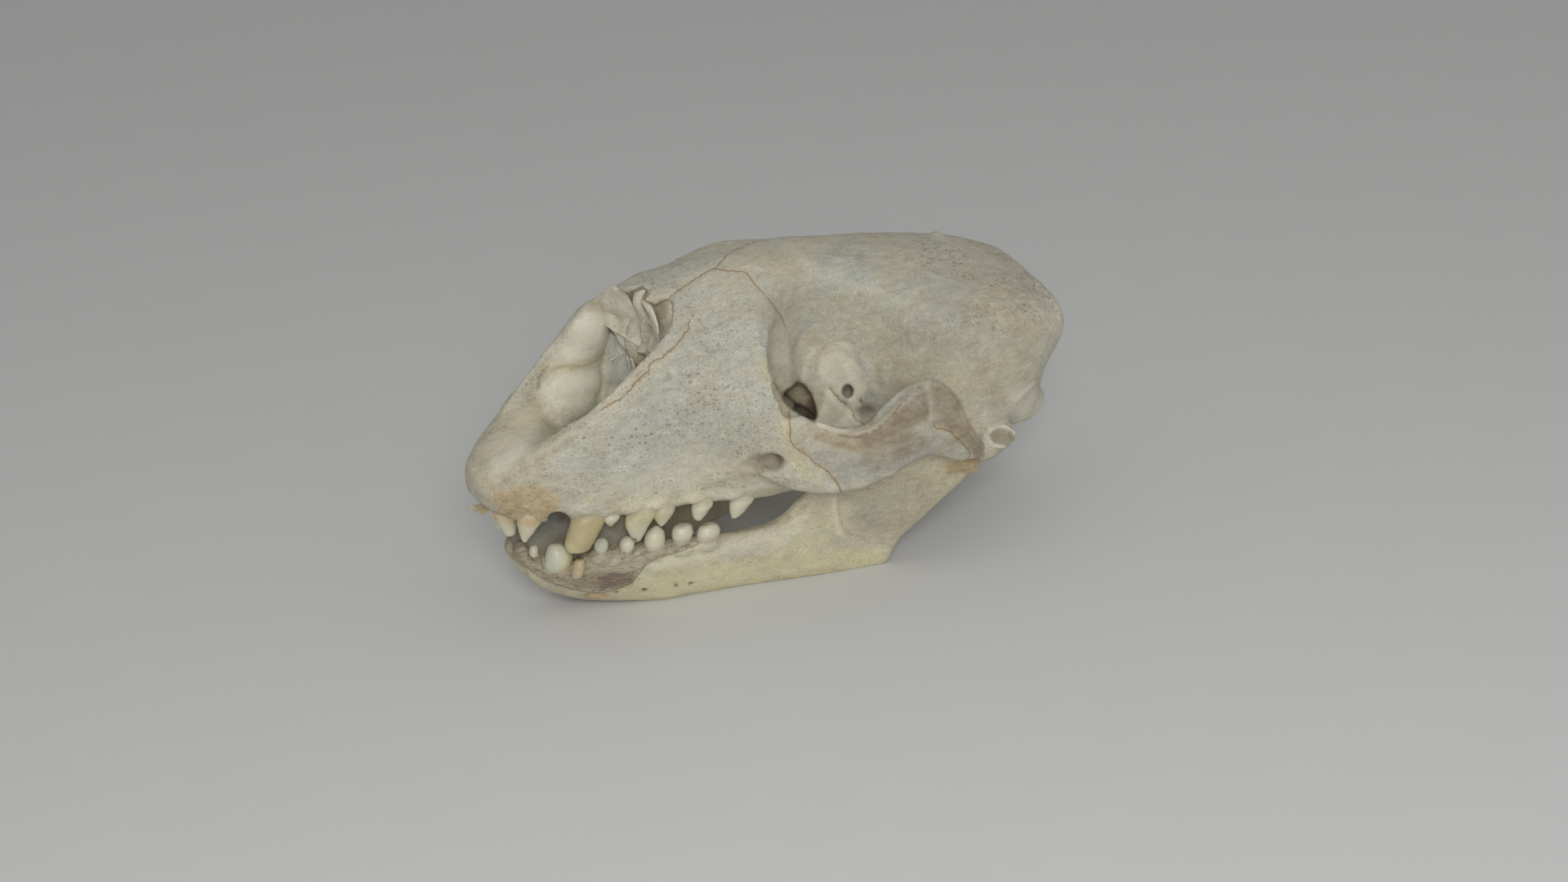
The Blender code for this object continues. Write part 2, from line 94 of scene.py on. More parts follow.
# Shapes that the tables don't give, with lengths in millimetres
ARCH_ROUNDNESS = 0.5
PLATE_ROUNDNESS = 0.8
SLAB_ROUNDNESS = 0.7
STRAND_WAIST = 0.35  # half width of a strand at its middle, as a share of its thickness
STRAND_FLARE = 1.1  # how much it widens towards both ends
CROWN_VIEW_ANGLE = 28.0  # degrees between the tooth row and the photograph's plane
CROWN_FULLNESS = 1.06
TOOTH_LEAST_HALF = 0.3
ROOT_LENGTH = 6.0
STUB_ROOT_LENGTH = 1.5
ROOT_LEAN = 0.35  # how much a root runs inwards, as a share of its length
ROOT_LEVELS = ((0.5, 0.86), (1.0, 0.6))  # depth as a share of the length, breadth as one of the neck's

# Reach of what is pressed into the skins and painted on them, in millimetres
RIDGE_REACH = 3.0  # a ridge or groove ends at this many of its half widths
STROKE_REACH = 2.2  # and a stroke of tone at this many
BRUSH_EDGE = 0.02  # share below which the evening brush leaves a point alone
SEAM_REACH = 6.0
FAR_FROM_SEAMS = 9.0
SIGHT_START = 2.5  # a point's line of sight starts this far in front of it
TISSUE_SOFTNESS = 5.0  # pixels
TISSUE_END = -55.0  # x behind which no tissue has dried on
PIT_SHADE = (0.15, 0.75)  # nearness to a hole's middle where its dark begins and where it is full
JAW_HOLE_SHADE = (0.2, 0.7)
# Painted shade on the sheet in the mouth: the heights over which it deepens, and the x over which it deepens
# towards the front
MOUTH_SHADE_Z = (0.030, 0.046)  # metres
MOUTH_SHADE_X = (-0.084, -0.098)  # metres

# Painted shade inside the skull, in the nose and the braincase: the places where it begins, is full, fades
# and ends
NOSE_DARK_X = (-50, -32, -12, 4)
NOSE_DARK_Z = (54, 62, 118, 128)
NOSE_DARK_BREADTH = (16, 24)  # it fades and ends
NOSE_PAINTED_SHADE = 0.8
BRAIN_MIDDLE = (72.0, 0.0, 87.0)
BRAIN_HALF_SIZES = (44.5, 48.5, 36.5)
BRAIN_WALL = (0.98, 1.06)  # shares of the half sizes between which the dark ends

# How porous the bone is: everywhere, and how much more on the face and at the back of the cranium
BASE_POROSITY = 0.25
FACE_POROSITY = 0.75
FACE_PORES_X = (-150, -130, -40, -20)
BACK_POROSITY = 1.2
BACK_PORES_X = (40, 80)
BACK_PORES_Z = (80, 110)
MOST_POROSITY = 1.6
JAW_POROSITY = 0.3

# Tables of the cranium's form

# Cranium: half outlines at stations along x. Each runs from the mid line of the underside, round the
# lower edge and the side, to the mid line of the roof, as (half breadth, height).
CRANIUM_STATIONS = (
    (-150.0, ((0, 60.5), (3, 60), (5.5, 61), (7, 63), (7.5, 66), (6.5, 69), (4, 71.5), (0, 72))),
    (-145.5, ((0, 55.5), (6, 55), (11, 57), (14, 61.5), (15, 67), (13, 72.5), (7, 75), (0, 75))),
    (-137.0, ((0, 51), (12, 50), (17.5, 52), (20.5, 60), (22, 69), (20.5, 77), (11, 79), (0, 78))),
    (-129.0, ((0, 50), (16, 49), (22, 51), (25, 60), (26, 71), (24.5, 80.5), (15, 82.5), (0, 81.5))),
    (-117.0, ((0, 50), (20, 48), (26, 50), (29, 62), (30.5, 77), (29, 90), (19, 91.5), (0, 91))),
    (-105.0, ((0, 50), (22, 47), (28, 49), (31.5, 64), (33.5, 82), (32.5, 97.5), (21, 99.5), (0, 99))),
    (-92.0, ((0, 50), (25, 46), (31, 48), (34, 66), (36.5, 88), (35, 107.5), (22, 111), (0, 111))),
    (-78.0, ((0, 50), (27, 45), (33, 47), (36, 66), (39, 92), (36, 117), (23, 124.5), (0, 126))),
    (-69.0, ((0, 50), (29, 44.5), (34, 46.5), (38, 66), (42, 92), (36.5, 118), (23, 130.5), (0, 136))),
    (-60.0, ((0, 50), (30, 44), (35, 46), (41, 66), (45, 92), (37, 117.5), (20, 132.5), (0, 138.5))),
    (-48.0, ((0, 50), (33, 43), (38, 45), (47, 64), (52, 89), (41, 114), (17, 134.5), (0, 139.5))),
    (-38.0, ((0, 50), (35, 42), (41, 45), (55, 64), (60, 87), (45, 113.5), (17, 136.5), (0, 141))),
    (-30.0, ((0, 50), (37, 42), (45, 45), (63, 62), (66, 87), (46, 116), (18, 138.5), (0, 142))),
    (-22.0, ((0, 50), (37, 44), (52, 47), (70, 60), (69, 79), (45, 110), (20, 138.5), (0, 143))),
    (-12.0, ((0, 50), (28, 46), (36, 50), (40, 64), (34, 82), (27, 110), (23, 136), (0, 143))),
    (0.0, ((0, 53), (14, 50), (19, 54), (19, 66), (18, 84), (19, 110), (22, 133), (0, 142))),
    (15.0, ((0, 55), (14, 51), (19, 55), (19, 68), (18, 86), (20, 108), (24, 129), (0, 140.5))),
    (30.0, ((0, 52), (18, 50), (24, 56), (27, 68), (29, 86), (31, 106), (28, 125.5), (0, 138))),
    (45.0, ((0, 48), (22, 48), (32, 56), (40, 68), (43, 86), (42, 106), (31, 123), (0, 135.5))),
    (60.0, ((0, 44), (30, 45), (46, 52), (52, 66), (53.5, 86), (49, 106), (32, 121), (0, 132.5))),
    (75.0, ((0, 42), (34, 42), (51, 50), (56, 66), (57.5, 86), (52.5, 105.5), (32, 119), (0, 129))),
    (90.0, ((0, 42), (32, 43), (49, 51), (55, 66), (57.5, 86), (53.5, 104), (31, 116.5), (0, 125.5))),
    (104.0, ((0, 43), (28, 46), (44, 54), (51, 67), (55.5, 85), (52, 101), (31, 112.5), (0, 121))),
    (114.0, ((0, 47), (22, 52), (36, 60), (46, 71), (53, 87), (51, 98), (31, 108.5), (0, 116.5))),
    (120.5, ((0, 57), (16, 60), (30, 66), (42, 76), (50, 89), (48, 97.5), (30, 106), (0, 112.5))),
    (124.0, ((0, 62), (13, 64), (24, 70), (33, 79), (37, 88), (34, 94), (22, 101), (0, 105))),
)
# Cheek arch, from inside the maxilla to the squamosal: x, y, half thickness, lowest z, highest z
ARCH_STATIONS = (
    (-42.0, 50.0, 6.0, 60.0, 80.0),
    (-30.0, 60.5, 5.5, 52.0, 86.0),
    (-20.0, 67.0, 4.5, 49.5, 82.5),
    (-11.0, 70.5, 4.0, 49.0, 78.5),
    (-2.0, 73.2, 3.8, 50.0, 77.5),
    (8.0, 75.4, 3.6, 52.5, 81.0),
    (18.0, 76.5, 3.5, 56.0, 87.5),
    (27.0, 76.6, 3.4, 58.0, 92.0),
    (35.0, 76.0, 3.6, 55.5, 90.5),
    (43.0, 75.0, 4.0, 51.0, 80.5),
    (51.0, 72.5, 4.5, 48.5, 67.0),
    (60.0, 66.8, 4.8, 46.5, 54.5),
    (66.0, 58.0, 5.0, 47.0, 53.0),
)
# Inner flange of the arch, which rises above its outer edge before the peak, by the same columns
FLANGE_STATIONS = (
    (-1.0, 72.5, 1.8, 66.0, 73.5),
    (2.5, 72.3, 2.0, 68.0, 76.6),
    (8.6, 72.2, 2.0, 72.0, 82.9),
    (15.7, 72.2, 2.0, 76.0, 87.1),
    (22.4, 72.4, 2.2, 80.0, 89.4),
    (29.0, 74.0, 2.4, 84.0, 90.8),
)
# Plates that hang from the skull base beside the rear nasal opening, by the same columns
PTERYGOID_STATIONS = (
    (-14.0, 17.0, 2.5, 46.0, 66.0),
    (2.0, 18.0, 2.4, 44.0, 66.0),
    (16.0, 20.0, 2.4, 41.0, 66.0),
    (24.0, 21.5, 2.6, 41.5, 66.0),
    (34.0, 21.0, 3.0, 48.0, 66.0),
)
# Septum of the nose, by the same columns
SEPTUM_STATIONS = (
    (-66.0, 0.0, 1.8, 108.0, 135.0),
    (-58.0, 0.0, 1.8, 84.0, 137.0),
    (-44.0, 0.0, 2.0, 66.0, 138.0),
    (-20.0, 0.0, 2.4, 56.0, 138.0),
    (6.0, 0.0, 3.0, 56.0, 120.0),
)
# Tips of the nasal bones, which overhang the opening of the nose
NASAL_STATIONS = (
    (-74.0, ((0, 133.5), (4, 133.5), (6, 133.2), (7, 133.6), (7, 134.6), (6, 135.6), (3.5, 136.2),
        (0, 136.2))),
    (-67.0, ((0, 132.5), (7, 132), (11, 130.5), (13, 130.5), (13.5, 132), (12, 134.5), (7, 136.6),
        (0, 137.2))),
    (-60.0, ((0, 131), (9, 130), (14, 128.5), (16.5, 128.5), (17, 130), (15.5, 133), (9, 137), (0, 138.3))),
    (-50.0, ((0, 129), (9, 128), (14, 127), (16.5, 127), (17, 129), (15.5, 133), (9, 137), (0, 138.8))),
)
# Cutter of their notched edge: outline in pixels, and the y where it starts and ends
NASAL_EDGE = (((741, 350), (754, 350), (768, 359), (779, 355), (787, 351), (796, 354), (793, 360),
    (787, 369), (795, 377), (804, 374), (820, 364), (838, 392), (800, 425), (740, 400)), -34.0, 8.0)
# Lumps that the cranium's outline takes on each side: centre, half sizes, turn about z in degrees
CRANIUM_LUMPS = (
    ((66.0, 51.0, 54.0), (12.0, 9.0, 6.5), 0.0),
    ((73.0, 53.0, 42.5), (10.0, 7.0, 6.5), 0.0),
    ((80.0, 54.5, 47.5), (8.4, 8.4, 7.0), 0.0),
    ((71.0, 37.0, 42.0), (17.0, 14.0, 11.0), 20.0),
    ((94.0, 38.0, 51.0), (12.0, 9.0, 7.0), -20.0),
    ((106.0, 32.5, 50.0), (17.0, 7.5, 11.0), -37.0),
    ((109.0, 35.0, 57.0), (13.0, 8.0, 13.0), -45.0),
    ((113.0, 26.0, 60.0), (9.0, 10.0, 10.0), -30.0),
    ((118.5, 22.0, 44.0), (13.0, 9.5, 10.5), -30.0),
    ((104.0, 13.0, 43.0), (16.0, 12.0, 7.5), 0.0),
    ((14.0, 17.0, 74.0), (11.0, 8.0, 20.0), 0.0),
)
# Scroll of bone beside the septum, by the same columns
NOSE_SCROLL = ((-59.0, 11.0, 106.0), (10.0, 7.0, 13.0), 0.0)
# Swellings round the necks of the upper teeth: centre, and half sizes along the row, across it and
# upright
UPPER_SOCKETS = (
    ((-135.4, 4.2, 53.0), (4.4, 5.0, 3.6)),
    ((-129.6, 12.8, 51.2), (7.0, 6.0, 5.4)),
    ((-110.8, 23.2, 54.5), (9.0, 7.4, 5.0)),
    ((-100.7, 26.3, 50.5), (5.0, 4.6, 3.6)),
    ((-91.6, 28.9, 50.6), (7.4, 5.8, 4.0)),
    ((-79.2, 30.6, 49.2), (7.0, 5.4, 3.6)),
    ((-62.8, 34.0, 48.4), (6.4, 5.1, 3.4)),
    ((-46.0, 36.0, 46.4), (6.6, 4.9, 3.4)),
)
# Hollow of the nose: half outlines along x, each from its floor's mid line to above its open top
NOSE_STATIONS = (
    (-138.0, ((0, 83), (8, 83), (14, 84), (18, 87), (20, 93), (20, 103), (12, 112), (0, 114))),
    (-126.0, ((0, 82), (12, 82), (18, 84), (22, 88), (24, 96), (25, 106), (16, 118), (0, 120))),
    (-112.0, ((0, 79), (12, 79.5), (19, 82), (24, 87), (27, 97), (29, 111), (20, 125), (0, 128))),
    (-98.0, ((0, 68), (13, 69), (21, 73), (26, 84), (29.5, 101), (31, 116), (24, 132), (0, 136))),
    (-84.0, ((0, 60), (14, 61), (22, 68), (27, 82), (31, 105), (34, 122), (28, 140), (0, 145))),
    (-73.0, ((0, 58), (14, 59), (22, 68), (27, 84), (30, 106), (32, 124), (26, 142), (0, 147))),
    (-65.0, ((0, 58), (14, 59), (22, 68), (27, 84), (28, 106), (27, 124), (21, 140), (0, 145))),
    (-57.5, ((0, 58), (14, 59), (21, 68), (25, 84), (26, 104), (22, 121), (13, 130), (0, 132))),
    (-40.0, ((0, 58), (13, 59), (19, 68), (22, 84), (23, 104), (19, 122), (12, 130), (0, 132))),
    (-20.0, ((0, 56), (11, 57), (15, 64), (16, 78), (16, 98), (14, 116), (9, 124), (0, 126))),
    (-6.0, ((0, 48), (10, 49), (13, 53), (14, 60), (13, 68), (11, 76), (6, 82), (0, 84))),
    (12.0, ((0, 34), (10, 35), (13, 40), (14, 47), (13, 54), (10, 58), (6, 60), (0, 61))),
)
# Swellings of the nose's walls, which its hollow goes round: centre, half sizes, turn and side
WALL_SWELLINGS = (
    ((-90.0, 32.5, 87.0), (17.5, 13.0, 12.0), -8.0, 1),
    ((-79.0, 33.5, 109.5), (12.5, 13.5, 15.0), 0.0, 1),
    ((-84.0, 34.0, 97.5), (14.0, 12.0, 12.0), 0.0, 1),
    ((-96.0, 31.0, 78.0), (20.0, 11.5, 10.0), -8.0, 1),
    ((-96.0, 33.0, 84.0), (19.0, 11.0, 11.0), -8.0, -1),
    ((-80.0, 34.0, 99.0), (13.0, 11.0, 12.0), 0.0, -1),
)
# Cutter that trims the rim of the nose on the left: pixels just above the rim, the y of both edges and
# the half thickness
RIM_TRIM = (
    ((816, 352), -8.0, -44.0, 3.5),
    ((814, 378), -10.0, -46.0, 3.5),
    ((811, 396), -12.0, -46.0, 3.5),
    ((803, 408), -14.0, -46.0, 3.5),
    ((779, 431), -14.0, -46.0, 3.5),
    ((762, 450), -14.0, -46.0, 3.5),
    ((744, 468), -14.0, -46.0, 3.5),
    ((728, 484), -14.0, -44.0, 3.5),
    ((712, 499), -14.0, -44.0, 3.2),
    ((692, 513), -12.0, -42.0, 2.6),
)
# Other spaces cut out of the shell: ellipsoids on each side, or on the mid line where y is 0
HOLLOWS = (
    ("orbits", (((1.0, 60.0, 98.0), (35.0, 38.0, 43.0), 0.0),)),
    ("braincase", (
        ((72.0, 0.0, 87.0), (43.0, 47.0, 35.0), 0.0),
        ((112.0, 0.0, 60.0), (24.0, 14.0, 15.0), 0.0),
    )),
    ("foramina", (
        ((-36.0, 57.0, 66.5), (11.0, 4.8, 5.4), 40.0),
        ((2.0, 18.0, 71.0), (6.0, 9.0, 8.0), 0.0),
    )),
)
# Cutters of the opening in the wall of the eye socket and of the round hole of the optic nerve: outline in
# pixels, and the y where it starts and ends
SOCKET_HOLES = (
    (((958, 481), (969, 474), (976, 466), (985, 470), (993, 481), (997, 493), (1000, 507), (997, 519),
        (988, 512), (978, 508), (965, 500), (956, 490)), -38.0, -9.0),
    (((1047, 479), (1044, 486), (1038, 489), (1032, 486), (1029, 479), (1032, 472), (1038, 469),
        (1044, 472)), -28.0, -13.0),
)
# The edge of the upper jaw between the second incisor and the canine, cut away below these pixels
GAP_EDGE = (((671, 648), (670, 631), (675, 627), (684, 625), (691, 627), (697, 632), (699, 650)), -32.0, -9.0)

# Tables of its lines and holes

# Seams and cracks by pixels
NASAL_SEAM = ((819, 365), (832, 355), (845, 346), (860, 336), (874, 329), (883, 320), (890, 312),
    (905, 304), (921, 297))
FRONTAL_SEAM = ((874, 329), (893, 331), (911, 333), (917, 339), (926, 350), (935, 359), (942, 367),
    (948, 375), (955, 385), (961, 398))
PREMAXILLA_SEAM = ((844, 395), (843, 402), (839, 408), (834, 416), (827, 423), (813, 436), (804, 440),
    (796, 446), (793, 455), (781, 465), (770, 480), (754, 491), (738, 500))
JUGAL_FRONT_SEAM = ((967, 506), (966, 516), (967, 526), (970, 543), (983, 554), (998, 566), (1013, 577),
    (1023, 587), (1030, 601))
JUGAL_REAR_SEAM = ((1143, 520), (1148, 525), (1162, 528), (1174, 538), (1184, 548), (1188, 556),
    (1184, 563), (1174, 566))
JUGAL_VALLEY = ((1130, 468), (1136, 480), (1139, 498), (1141, 514), (1148, 525))
WALL_CRACK = ((1017, 476), (1024, 484), (1030, 491), (1040, 499), (1044, 506), (1048, 513), (1058, 519))
# Lines of the cranium by pixels on its left side: name, pixels, half width and height in millimetres
CRANIUM_LINES = (
    ("edge of the nasal bone", NASAL_SEAM, 0.8, -0.35),
    ("frontal and maxilla", FRONTAL_SEAM, 0.8, -0.3),
    ("premaxilla and maxilla", PREMAXILLA_SEAM, 1.2, -0.6),
    ("jugal and maxilla", JUGAL_FRONT_SEAM, 0.9, -0.5),
    ("jugal and squamosal", JUGAL_REAR_SEAM, 1.0, -0.6),
    ("valley between them", JUGAL_VALLEY, 2.2, -0.9),
    ("rim of the eye socket", ((943, 464), (963, 500), (989, 515), (1030, 530), (1050, 533)), 1.8, 0.8),
    ("upper ridge of the socket wall", ((1002, 440), (1010, 430), (1022, 424), (1036, 424), (1048, 432),
        (1058, 446), (1064, 462), (1066, 476)), 2.6, 1.1),
    ("crack in the socket wall", WALL_CRACK, 0.9, -0.7),
    ("edge of the wall's plate", ((1013, 480), (1022, 492), (1032, 502), (1042, 512), (1052, 520)), 2.2,
        1.0),
    ("ring of the optic hole", ((1048, 479), (1045, 487), (1038, 490), (1031, 487), (1028, 479),
        (1031, 471), (1038, 468), (1045, 471), (1048, 479)), 0.9, 0.5),
    ("furrow of the face", ((712, 533), (700, 540), (690, 545), (681, 552), (672, 558)), 1.5, -0.8),
    ("line of the snout", ((665, 556), (650, 568), (625, 584), (608, 594), (594, 600)), 0.8, -0.3),
    ("band under the nose's rim", ((720, 512), (700, 522), (680, 532)), 2.0, -0.5),
    ("squamosal rear edge", ((1134, 466), (1151, 470), (1164, 480), (1174, 494), (1182, 513), (1192, 531),
        (1204, 546)), 1.6, 0.9),
    ("hollow before the squamosal edge", ((1143, 482), (1155, 492), (1163, 508), (1170, 526)), 2.2, -0.9),
    ("outer edge of the arch's top", ((1048, 531), (1066, 525), (1086, 512), (1101, 497), (1113, 486),
        (1122, 475)), 1.1, 0.7),
    ("groove behind the arch", ((1205, 501), (1195, 507), (1185, 513)), 1.5, -0.8),
    ("ridge of the nape", ((1246, 490), (1257, 477), (1270, 468)), 1.6, 0.8),
    ("rim of the mastoid", ((1246, 540), (1240, 528), (1228, 522), (1215, 525), (1209, 534), (1216, 544),
        (1230, 547), (1243, 545), (1246, 538)), 0.9, 1.3),
    ("swell over the canine's root", ((735, 625), (750, 600), (770, 575), (795, 552)), 5.0, 0.9),
    ("ridge above the foramen", ((880, 588), (900, 570), (925, 556), (950, 553), (962, 560)), 1.8, 0.8),
    ("dip under the foramen", ((870, 600), (900, 590), (930, 583)), 2.5, -0.6),
    ("lower lip of the foramen", ((915, 577), (935, 582), (958, 577)), 1.5, 0.6),
    ("lower edge of the arch", ((1030, 598), (1059, 593), (1079, 584), (1101, 576), (1119, 568),
        (1136, 561)), 1.4, 0.6),
)
# Swellings and dimples: name, centre and half sizes in the skull frame, height
CRANIUM_SWELLS = (
    ("dip of the temple", (30.0, -30.0, 100.0), (16.0, 10.0, 14.0), -1.2),
    ("dip of the face", (-70.0, -42.0, 80.0), (20.0, 8.0, 16.0), -0.8),
)
# Holes: name, pixel, half sizes, depth and how strong the painted shade in them is
CRANIUM_PITS = (
    ("small foramen", (1054, 491), (0.8, 1.0, 0.8), 1.2, 1.0),
    ("optic hole", (1038, 479), (2.9, 5.0, 2.9), 0.0, 0.8),
    ("depth of the opening", (992, 502), (2.6, 6.0, 5.0), 0.0, 0.6),
    ("hollow of the socket wall", (1061, 504), (3.4, 4.0, 2.8), 2.2, 0.55),
    ("long pit", (819, 462), (0.8, 1.2, 2.6), 0.7, 0.5),
    ("infraorbital foramen", (937, 568), (6.8, 6.0, 4.0), 3.4, 0.55),
    ("infraorbital canal", (948, 567), (3.2, 4.0, 2.8), 4.5, 1.0),
    ("middle of the mastoid", (1228, 534), (4.4, 4.0, 3.0), 2.6, 0.0),
    ("bump of the crest", (1150, 289), (2.6, 2.6, 2.0), -1.3, 0.0),
    ("dip of the upper back", (1208, 406), (9.0, 9.0, 9.0), 1.2, 0.0),
)
# Places where the cranium's skin is evened out: pixel, half sizes and rounds
SOFTENED = (
    ((1262, 488), (13.0, 12.0, 14.0), 120),
    ((1277, 494), (9.0, 9.0, 12.0), 160),
    ((1268, 476), (9.0, 9.0, 9.0), 100),
    ((1215, 515), (9.0, 9.0, 7.0), 40),
)
# Seams whose lines show: three groups, painted alike but wavering each by its own pattern
CRANIUM_SEAMS = ((NASAL_SEAM, JUGAL_FRONT_SEAM), (FRONTAL_SEAM, JUGAL_REAR_SEAM), (PREMAXILLA_SEAM,
    WALL_CRACK))

# Tables of the thin bones and of the sheet that carries the painted shade in the mouth

# Thin bones in the nose. A station is the pixel and y of one edge, the pixel and y of the other edge, and
# the half thickness in millimetres; the plate is a skin over its stations.
NOSE_PLATES = (
    ("snout_flake", (
        ((603, 612), 4.0, (606, 630), 4.0, 1.2),
        ((597, 617), 2.0, (599, 625), 2.0, 0.9),
        ((591, 616), 2.0, (592, 629), 2.0, 0.7),
        ((584, 618), 1.0, (586, 629), 1.0, 0.7),
        ((578, 618), 0.0, (581, 625), 0.0, 0.7),
        ((573, 619), 0.0, (575, 622), 0.0, 0.5),
    )),
    ("upper_plate", (
        ((748, 349), 20.0, (764, 355), 8.0, 0.9),
        ((738, 360), 27.0, (771, 366), 8.0, 0.9),
        ((732, 373), 30.0, (780, 382), 8.0, 0.9),
        ((738, 386), 29.0, (791, 397), 8.0, 0.9),
        ((742, 399), 28.0, (797, 406), 8.0, 0.8),
    )),
    ("folded_plate", (
        ((742, 396), 27.0, (787, 403), 11.0, 1.4),
        ((750, 407), 23.0, (786, 412), 11.0, 2.2),
        ((758, 418), 19.0, (784, 422), 11.0, 2.2),
        ((766, 428), 16.0, (779, 431), 12.0, 1.3),
    )),
    ("passage_wall", (
        ((742, 402), 29.0, (776, 426), 17.0, 1.2),
        ((738, 430), 30.0, (778, 440), 15.0, 1.2),
        ((735, 455), 30.0, (778, 456), 14.0, 1.2),
        ((737, 480), 28.0, (772, 478), 12.0, 1.2),
        ((740, 500), 26.0, (768, 498), 10.0, 1.4),
        ((744, 520), 23.0, (762, 518), 9.0, 1.6),
    )),
    ("septum_front", (
        ((778, 349), 3.0, (795, 351), -3.0, 1.2),
        ((777, 359), 3.0, (788, 361), -3.0, 1.2),
        ((776, 371), 3.0, (785, 371), -3.0, 1.2),
        ((781, 384), 3.0, (791, 383), -3.0, 1.2),
        ((789, 397), 3.0, (799, 395), -3.0, 1.2),
        ((793, 405), 3.0, (803, 403), -3.0, 1.3),
        ((792, 412), 3.0, (802, 412), -3.0, 1.3),
        ((786, 422), 3.0, (797, 424), -3.0, 1.6),
        ((780, 432), 3.0, (792, 435), -3.0, 2.0),
    )),
    ("recess", (
        ((790, 345), 0.0, (828, 354), -14.0, 1.0),
        ((786, 364), 0.0, (830, 372), -18.0, 1.0),
        ((786, 376), 0.0, (829, 384), -22.0, 1.0),
        ((793, 390), 0.0, (825, 396), -25.0, 1.0),
        ((798, 402), 0.0, (819, 408), -27.0, 1.0),
        ((797, 414), 0.0, (811, 420), -28.0, 1.0),
        ((790, 430), 0.0, (800, 434), -28.0, 1.0),
    )),
)
# Those that have no twin on the other side
SINGLE_PLATES = ("septum_front", "snout_flake")
# Bony strands across the passage: pixel and y of both ends, and the thickness
NOSE_STRANDS = (
    ((765, 430), 12.0, (748, 441), 18.0, 0.9),
    ((770, 431), 11.0, (777, 450), 9.0, 1.0),
    ((774, 430), 10.0, (785, 440), 6.0, 0.8),
    ((768, 436), 11.0, (772, 452), 11.0, 0.7),
)
# Sheet behind the front teeth that carries the painted shade inside the mouth, by stations like those of the
# thin bones
MOUTH_SHADE_SHEET = (
    ((616, 640), 0.0, (630, 668), 0.0, 0.9),
    ((628, 634), -3.0, (642, 677), -2.0, 0.9),
    ((641, 628), -6.0, (650, 680), -4.0, 0.9),
    ((662, 622), -9.0, (668, 686), -6.0, 0.9),
    ((690, 622), -14.0, (690, 690), -9.0, 0.9),
    ((715, 628), -17.0, (712, 690), -13.0, 0.9),
    ((742, 630), -19.5, (740, 684), -16.0, 0.9),
    ((768, 628), -22.0, (765, 680), -19.0, 0.9),
    ((788, 626), -24.0, (789, 676), -21.5, 0.9),
)

# Tables of the lower jaw

# Half of the lower jaw, from the chin to the neck of the condyle: x, then y and half thickness at its
# lower edge, y and half thickness at its upper edge, lowest z, highest z
DENTARY_STATIONS = (
    (-135.0, 3.2, 2.5, 5.5, 5.0, 24.0, 32.0),
    (-129.5, 5.2, 4.8, 8.8, 8.4, 15.8, 28.5),
    (-121.0, 7.0, 6.4, 12.2, 11.8, 9.2, 26.5),
    (-108.0, 9.0, 7.0, 15.2, 12.4, 3.6, 29.0),
    (-96.0, 14.0, 6.8, 20.4, 10.4, 1.2, 30.0),
    (-80.0, 21.2, 6.2, 26.2, 8.4, -0.2, 29.5),
    (-60.0, 26.5, 5.2, 31.0, 7.0, -0.8, 28.5),
    (-40.0, 32.0, 4.8, 37.0, 6.3, -1.0, 28.0),
    (-26.0, 37.0, 4.5, 42.0, 5.6, -1.0, 31.5),
    (-14.0, 41.5, 4.2, 45.5, 4.8, -1.0, 43.0),
    (-4.0, 45.0, 4.0, 48.0, 4.0, -1.0, 54.0),
    (6.0, 48.0, 3.8, 50.0, 3.4, -1.0, 62.5),
    (14.0, 50.0, 3.6, 51.5, 3.0, -0.8, 67.0),
    (21.0, 51.5, 3.6, 52.5, 3.0, 0.0, 65.0),
    (24.0, 52.0, 3.6, 53.0, 3.2, 6.5, 62.5),
    (34.0, 54.0, 3.6, 55.0, 3.4, 15.5, 56.0),
    (44.0, 56.5, 4.0, 57.5, 3.8, 24.0, 51.0),
    (53.0, 59.0, 4.6, 60.0, 4.6, 32.0, 45.5),
    (59.0, 60.5, 5.0, 61.0, 5.0, 37.5, 43.5),
)
# Its condyle, and lumps at its front: centre, half sizes, turn
CONDYLE = ((59.5, 60.0, 40.6), (5.2, 7.5, 4.6), 0.0)
CHIN_LUMPS = (
    ((-133.5, 4.6, 30.5), (3.4, 4.2, 6.0), 0.0),
    ((-127.0, 9.0, 23.0), (6.0, 5.0, 6.0), 0.0),
)
# Swellings round the necks of the lower teeth: centre and half sizes
LOWER_SOCKETS = (
    ((-127.6, 5.8, 25.0), (5.4, 5.0, 4.6)),
    ((-118.1, 12.5, 21.2), (8.4, 7.8, 4.8)),
    ((-103.9, 21.6, 27.0), (6.0, 5.6, 4.4)),
    ((-93.2, 24.9, 26.5), (5.7, 5.3, 4.4)),
    ((-82.0, 27.9, 26.4), (7.2, 6.4, 4.6)),
    ((-70.0, 30.9, 26.0), (7.2, 6.2, 4.4)),
    ((-59.0, 33.4, 26.0), (7.6, 5.8, 4.2)),
)
# Hollow for the chewing muscle: centre and half sizes in the skull frame, height
MUSCLE_HOLLOW = ((6.0, -50.0, 20.0), (16.0, 8.0, 16.0), -1.4)
# Small holes of the jaw, with painted shade in them: pixel, radius and depth in millimetres
JAW_HOLES = (
    ((704, 681), 1.9, 3.0), ((777, 661), 1.1, 1.6), ((719, 729), 0.9, 1.0), ((755, 726), 0.8, 1.0),
    ((789, 723), 1.1, 1.2), ((828, 717), 0.9, 1.0), ((846, 715), 1.0, 1.0), ((682, 708), 0.7, 0.6),
)
# Dried tissue on the front of the jaw, by pixels: back along the teeth, forward below them
TISSUE_OUTLINE = ((618, 662), (624, 652), (636, 654), (650, 664), (662, 678), (664, 692), (674, 700),
    (690, 701), (700, 692), (704, 674), (716, 660), (730, 662), (770, 663), (800, 662), (830, 657),
    (852, 655), (862, 664), (828, 677), (806, 683), (791, 692), (782, 703), (773, 714), (756, 721),
    (740, 726), (722, 726), (700, 721), (680, 715), (665, 709), (650, 699), (636, 690), (626, 680))

# Tables of the teeth

